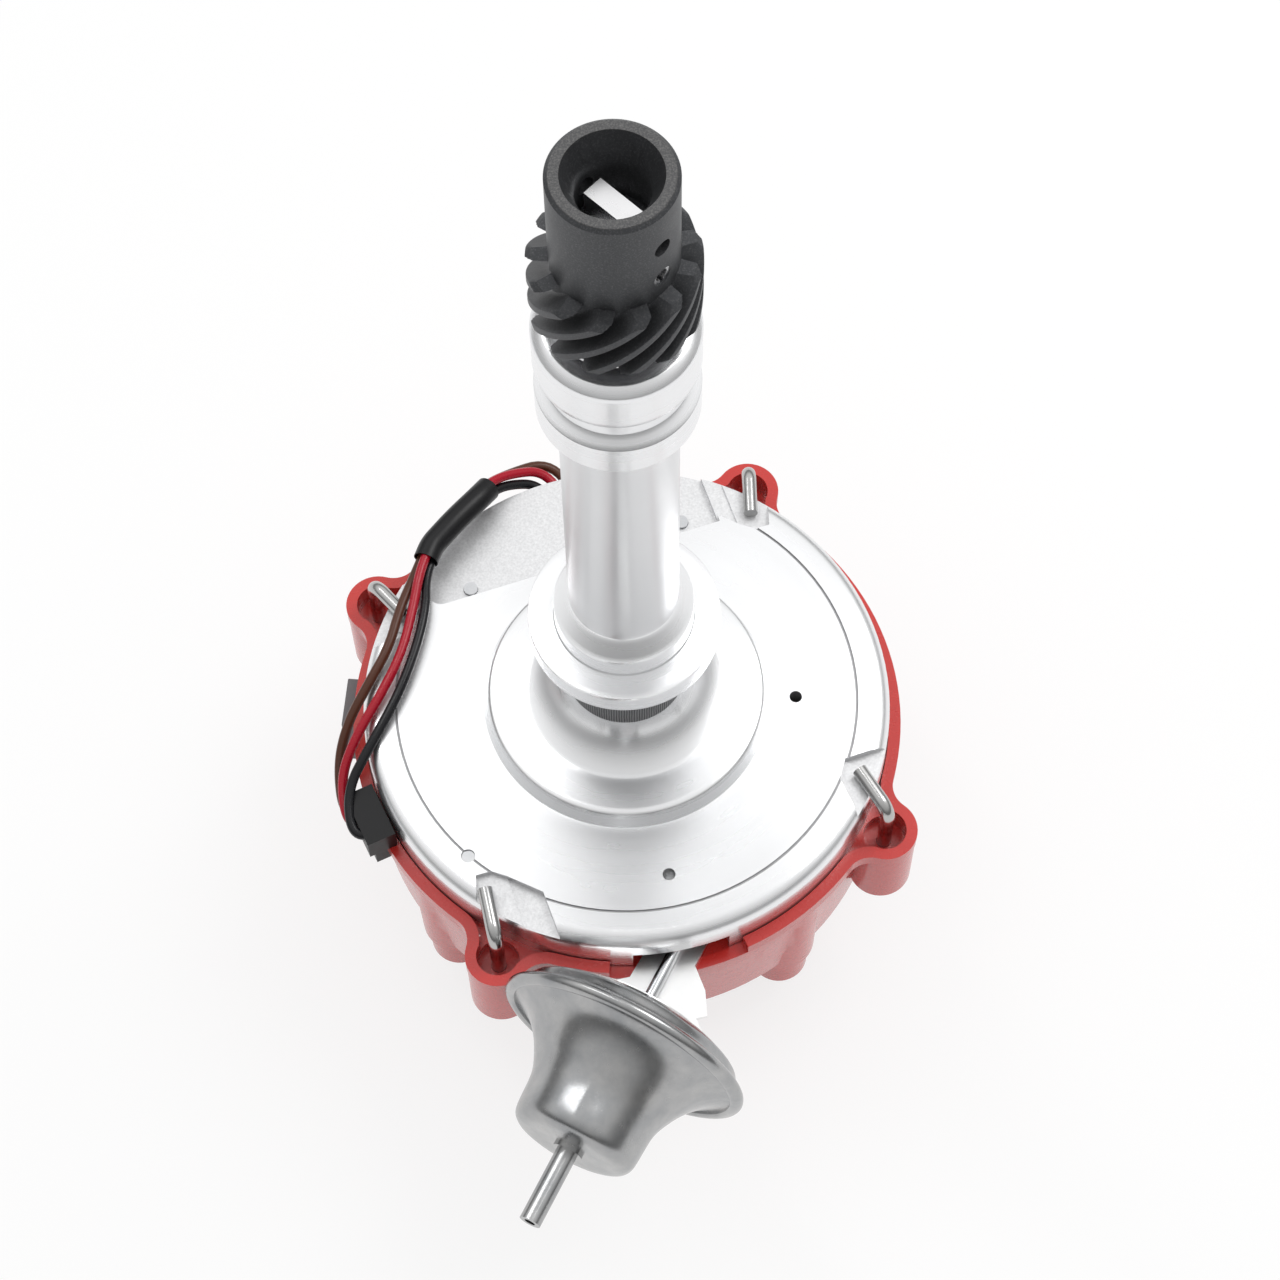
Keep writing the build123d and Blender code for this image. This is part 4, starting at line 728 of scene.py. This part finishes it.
def aimed_camera(place, yaw, pitch, roll, focal):
    """Camera looking along (sin yaw cos pitch, cos yaw cos pitch, -sin pitch), rolled about that line."""
    ahead = Vector((math.sin(yaw) * math.cos(pitch), math.cos(yaw) * math.cos(pitch), -math.sin(pitch)))
    level = ahead.cross(Vector(up)).normalized()
    rise = level.cross(ahead)
    right = math.cos(roll) * level + math.sin(roll) * rise
    top = math.cos(roll) * rise - math.sin(roll) * level
    camera = put("camera", bpy.data.cameras.new("camera"))
    camera.matrix_world = Matrix.Translation(place) @ Matrix((right, top, -ahead)).transposed().to_4x4()
    camera.data.lens = focal
    camera.data.sensor_width = 36.0
    camera.data.clip_start = 0.05
    camera.data.clip_end = 20.0
    bpy.context.scene.camera = camera


def softbox(name, place, size, power):
    """Rectangular light at a place, turned to the origin."""
    light = bpy.data.lights.new(name, "AREA")
    light.shape = "RECTANGLE"
    light.size, light.size_y = size
    light.energy = power
    box = put(name, light)
    box.location = place
    box.rotation_euler = (-Vector(place)).to_track_quat("-Z", "Y").to_euler()


aimed_camera(Vector((0.0, -0.35739, 0.72342)), yaw=0.0110, pitch=1.1210, roll=-0.0173, focal=88.85)

reach, floor_height = 6.0, cad_box[0].z
floor_mesh = bpy.data.meshes.new("floor")
corners = [(-reach, -reach), (reach, -reach), (reach, reach), (-reach, reach)]
floor_mesh.from_pydata([(*corner, floor_height) for corner in corners], [], [(0, 1, 2, 3)])
floor = put("floor", floor_mesh)

# The floor glows white for the camera and in glossy pieces, and is plain paper for soft light
paper = Finish("white_floor", (0.93, 0.93, 0.93), roughness=0.9)
glow = paper.add("ShaderNodeEmission", {"Color": (1, 1, 1, 1), "Strength": 1.0})
paper_share = 0.22
lit = paper.add("ShaderNodeMixShader", {0: paper_share, 1: glow.outputs[0], 2: paper.shader.outputs[0]})
path = paper.add("ShaderNodeLightPath")
sharp = paper.math("MAXIMUM", path.outputs["Is Glossy Ray"], path.outputs["Is Transmission Ray"])
seen = paper.math("MAXIMUM", path.outputs["Is Camera Ray"], sharp)
plain = paper.add("ShaderNodeMixShader", {0: seen, 1: paper.shader.outputs[0], 2: lit.outputs[0]})
paper.tree.links.new(plain.outputs[0], paper.tree.nodes["Material Output"].inputs["Surface"])
floor_mesh.materials.append(paper.material)

# The studio is bright overhead, dim at the horizon and dimmer in front; the camera sees it white
world = bpy.data.worlds.new("studio")
bpy.context.scene.world = world
world.use_nodes = True
studio = Tree(world.node_tree)
heading = studio.add("ShaderNodeTexCoord").outputs["Generated"]
parts = studio.add("ShaderNodeSeparateXYZ", {0: heading})
brightness = ((0.0, 0.22), (0.28, 0.40), (0.52, 0.92), (0.72, 1.0))
shade = studio.ramp(parts.outputs[2], *brightness)
dimming = {"From Min": -0.75, "From Max": 0.15, "To Min": 0.62, "To Max": 1.0}
strength = studio.add("ShaderNodeMapRange", {"Value": parts.outputs[1], **dimming})
background = studio.tree.nodes["Background"]
studio.tree.links.new(shade, background.inputs["Color"])
studio.tree.links.new(strength.outputs["Result"], background.inputs["Strength"])
backdrop = studio.add("ShaderNodeBackground", {"Color": (1, 1, 1, 1)})
to_camera = studio.add("ShaderNodeLightPath").outputs["Is Camera Ray"]
shown = studio.add("ShaderNodeMixShader", {0: to_camera, 1: background.outputs[0], 2: backdrop.outputs[0]})
studio.tree.links.new(shown.outputs[0], studio.tree.nodes["World Output"].inputs["Surface"])

softbox("key", place=(0.9, 0.5, 1.4), size=(0.8, 0.8), power=9.0)
softbox("strip", place=(-0.55, 0.55, 1.3), size=(0.15, 0.9), power=2.5)

bpy.context.scene.view_settings.view_transform = "Standard"
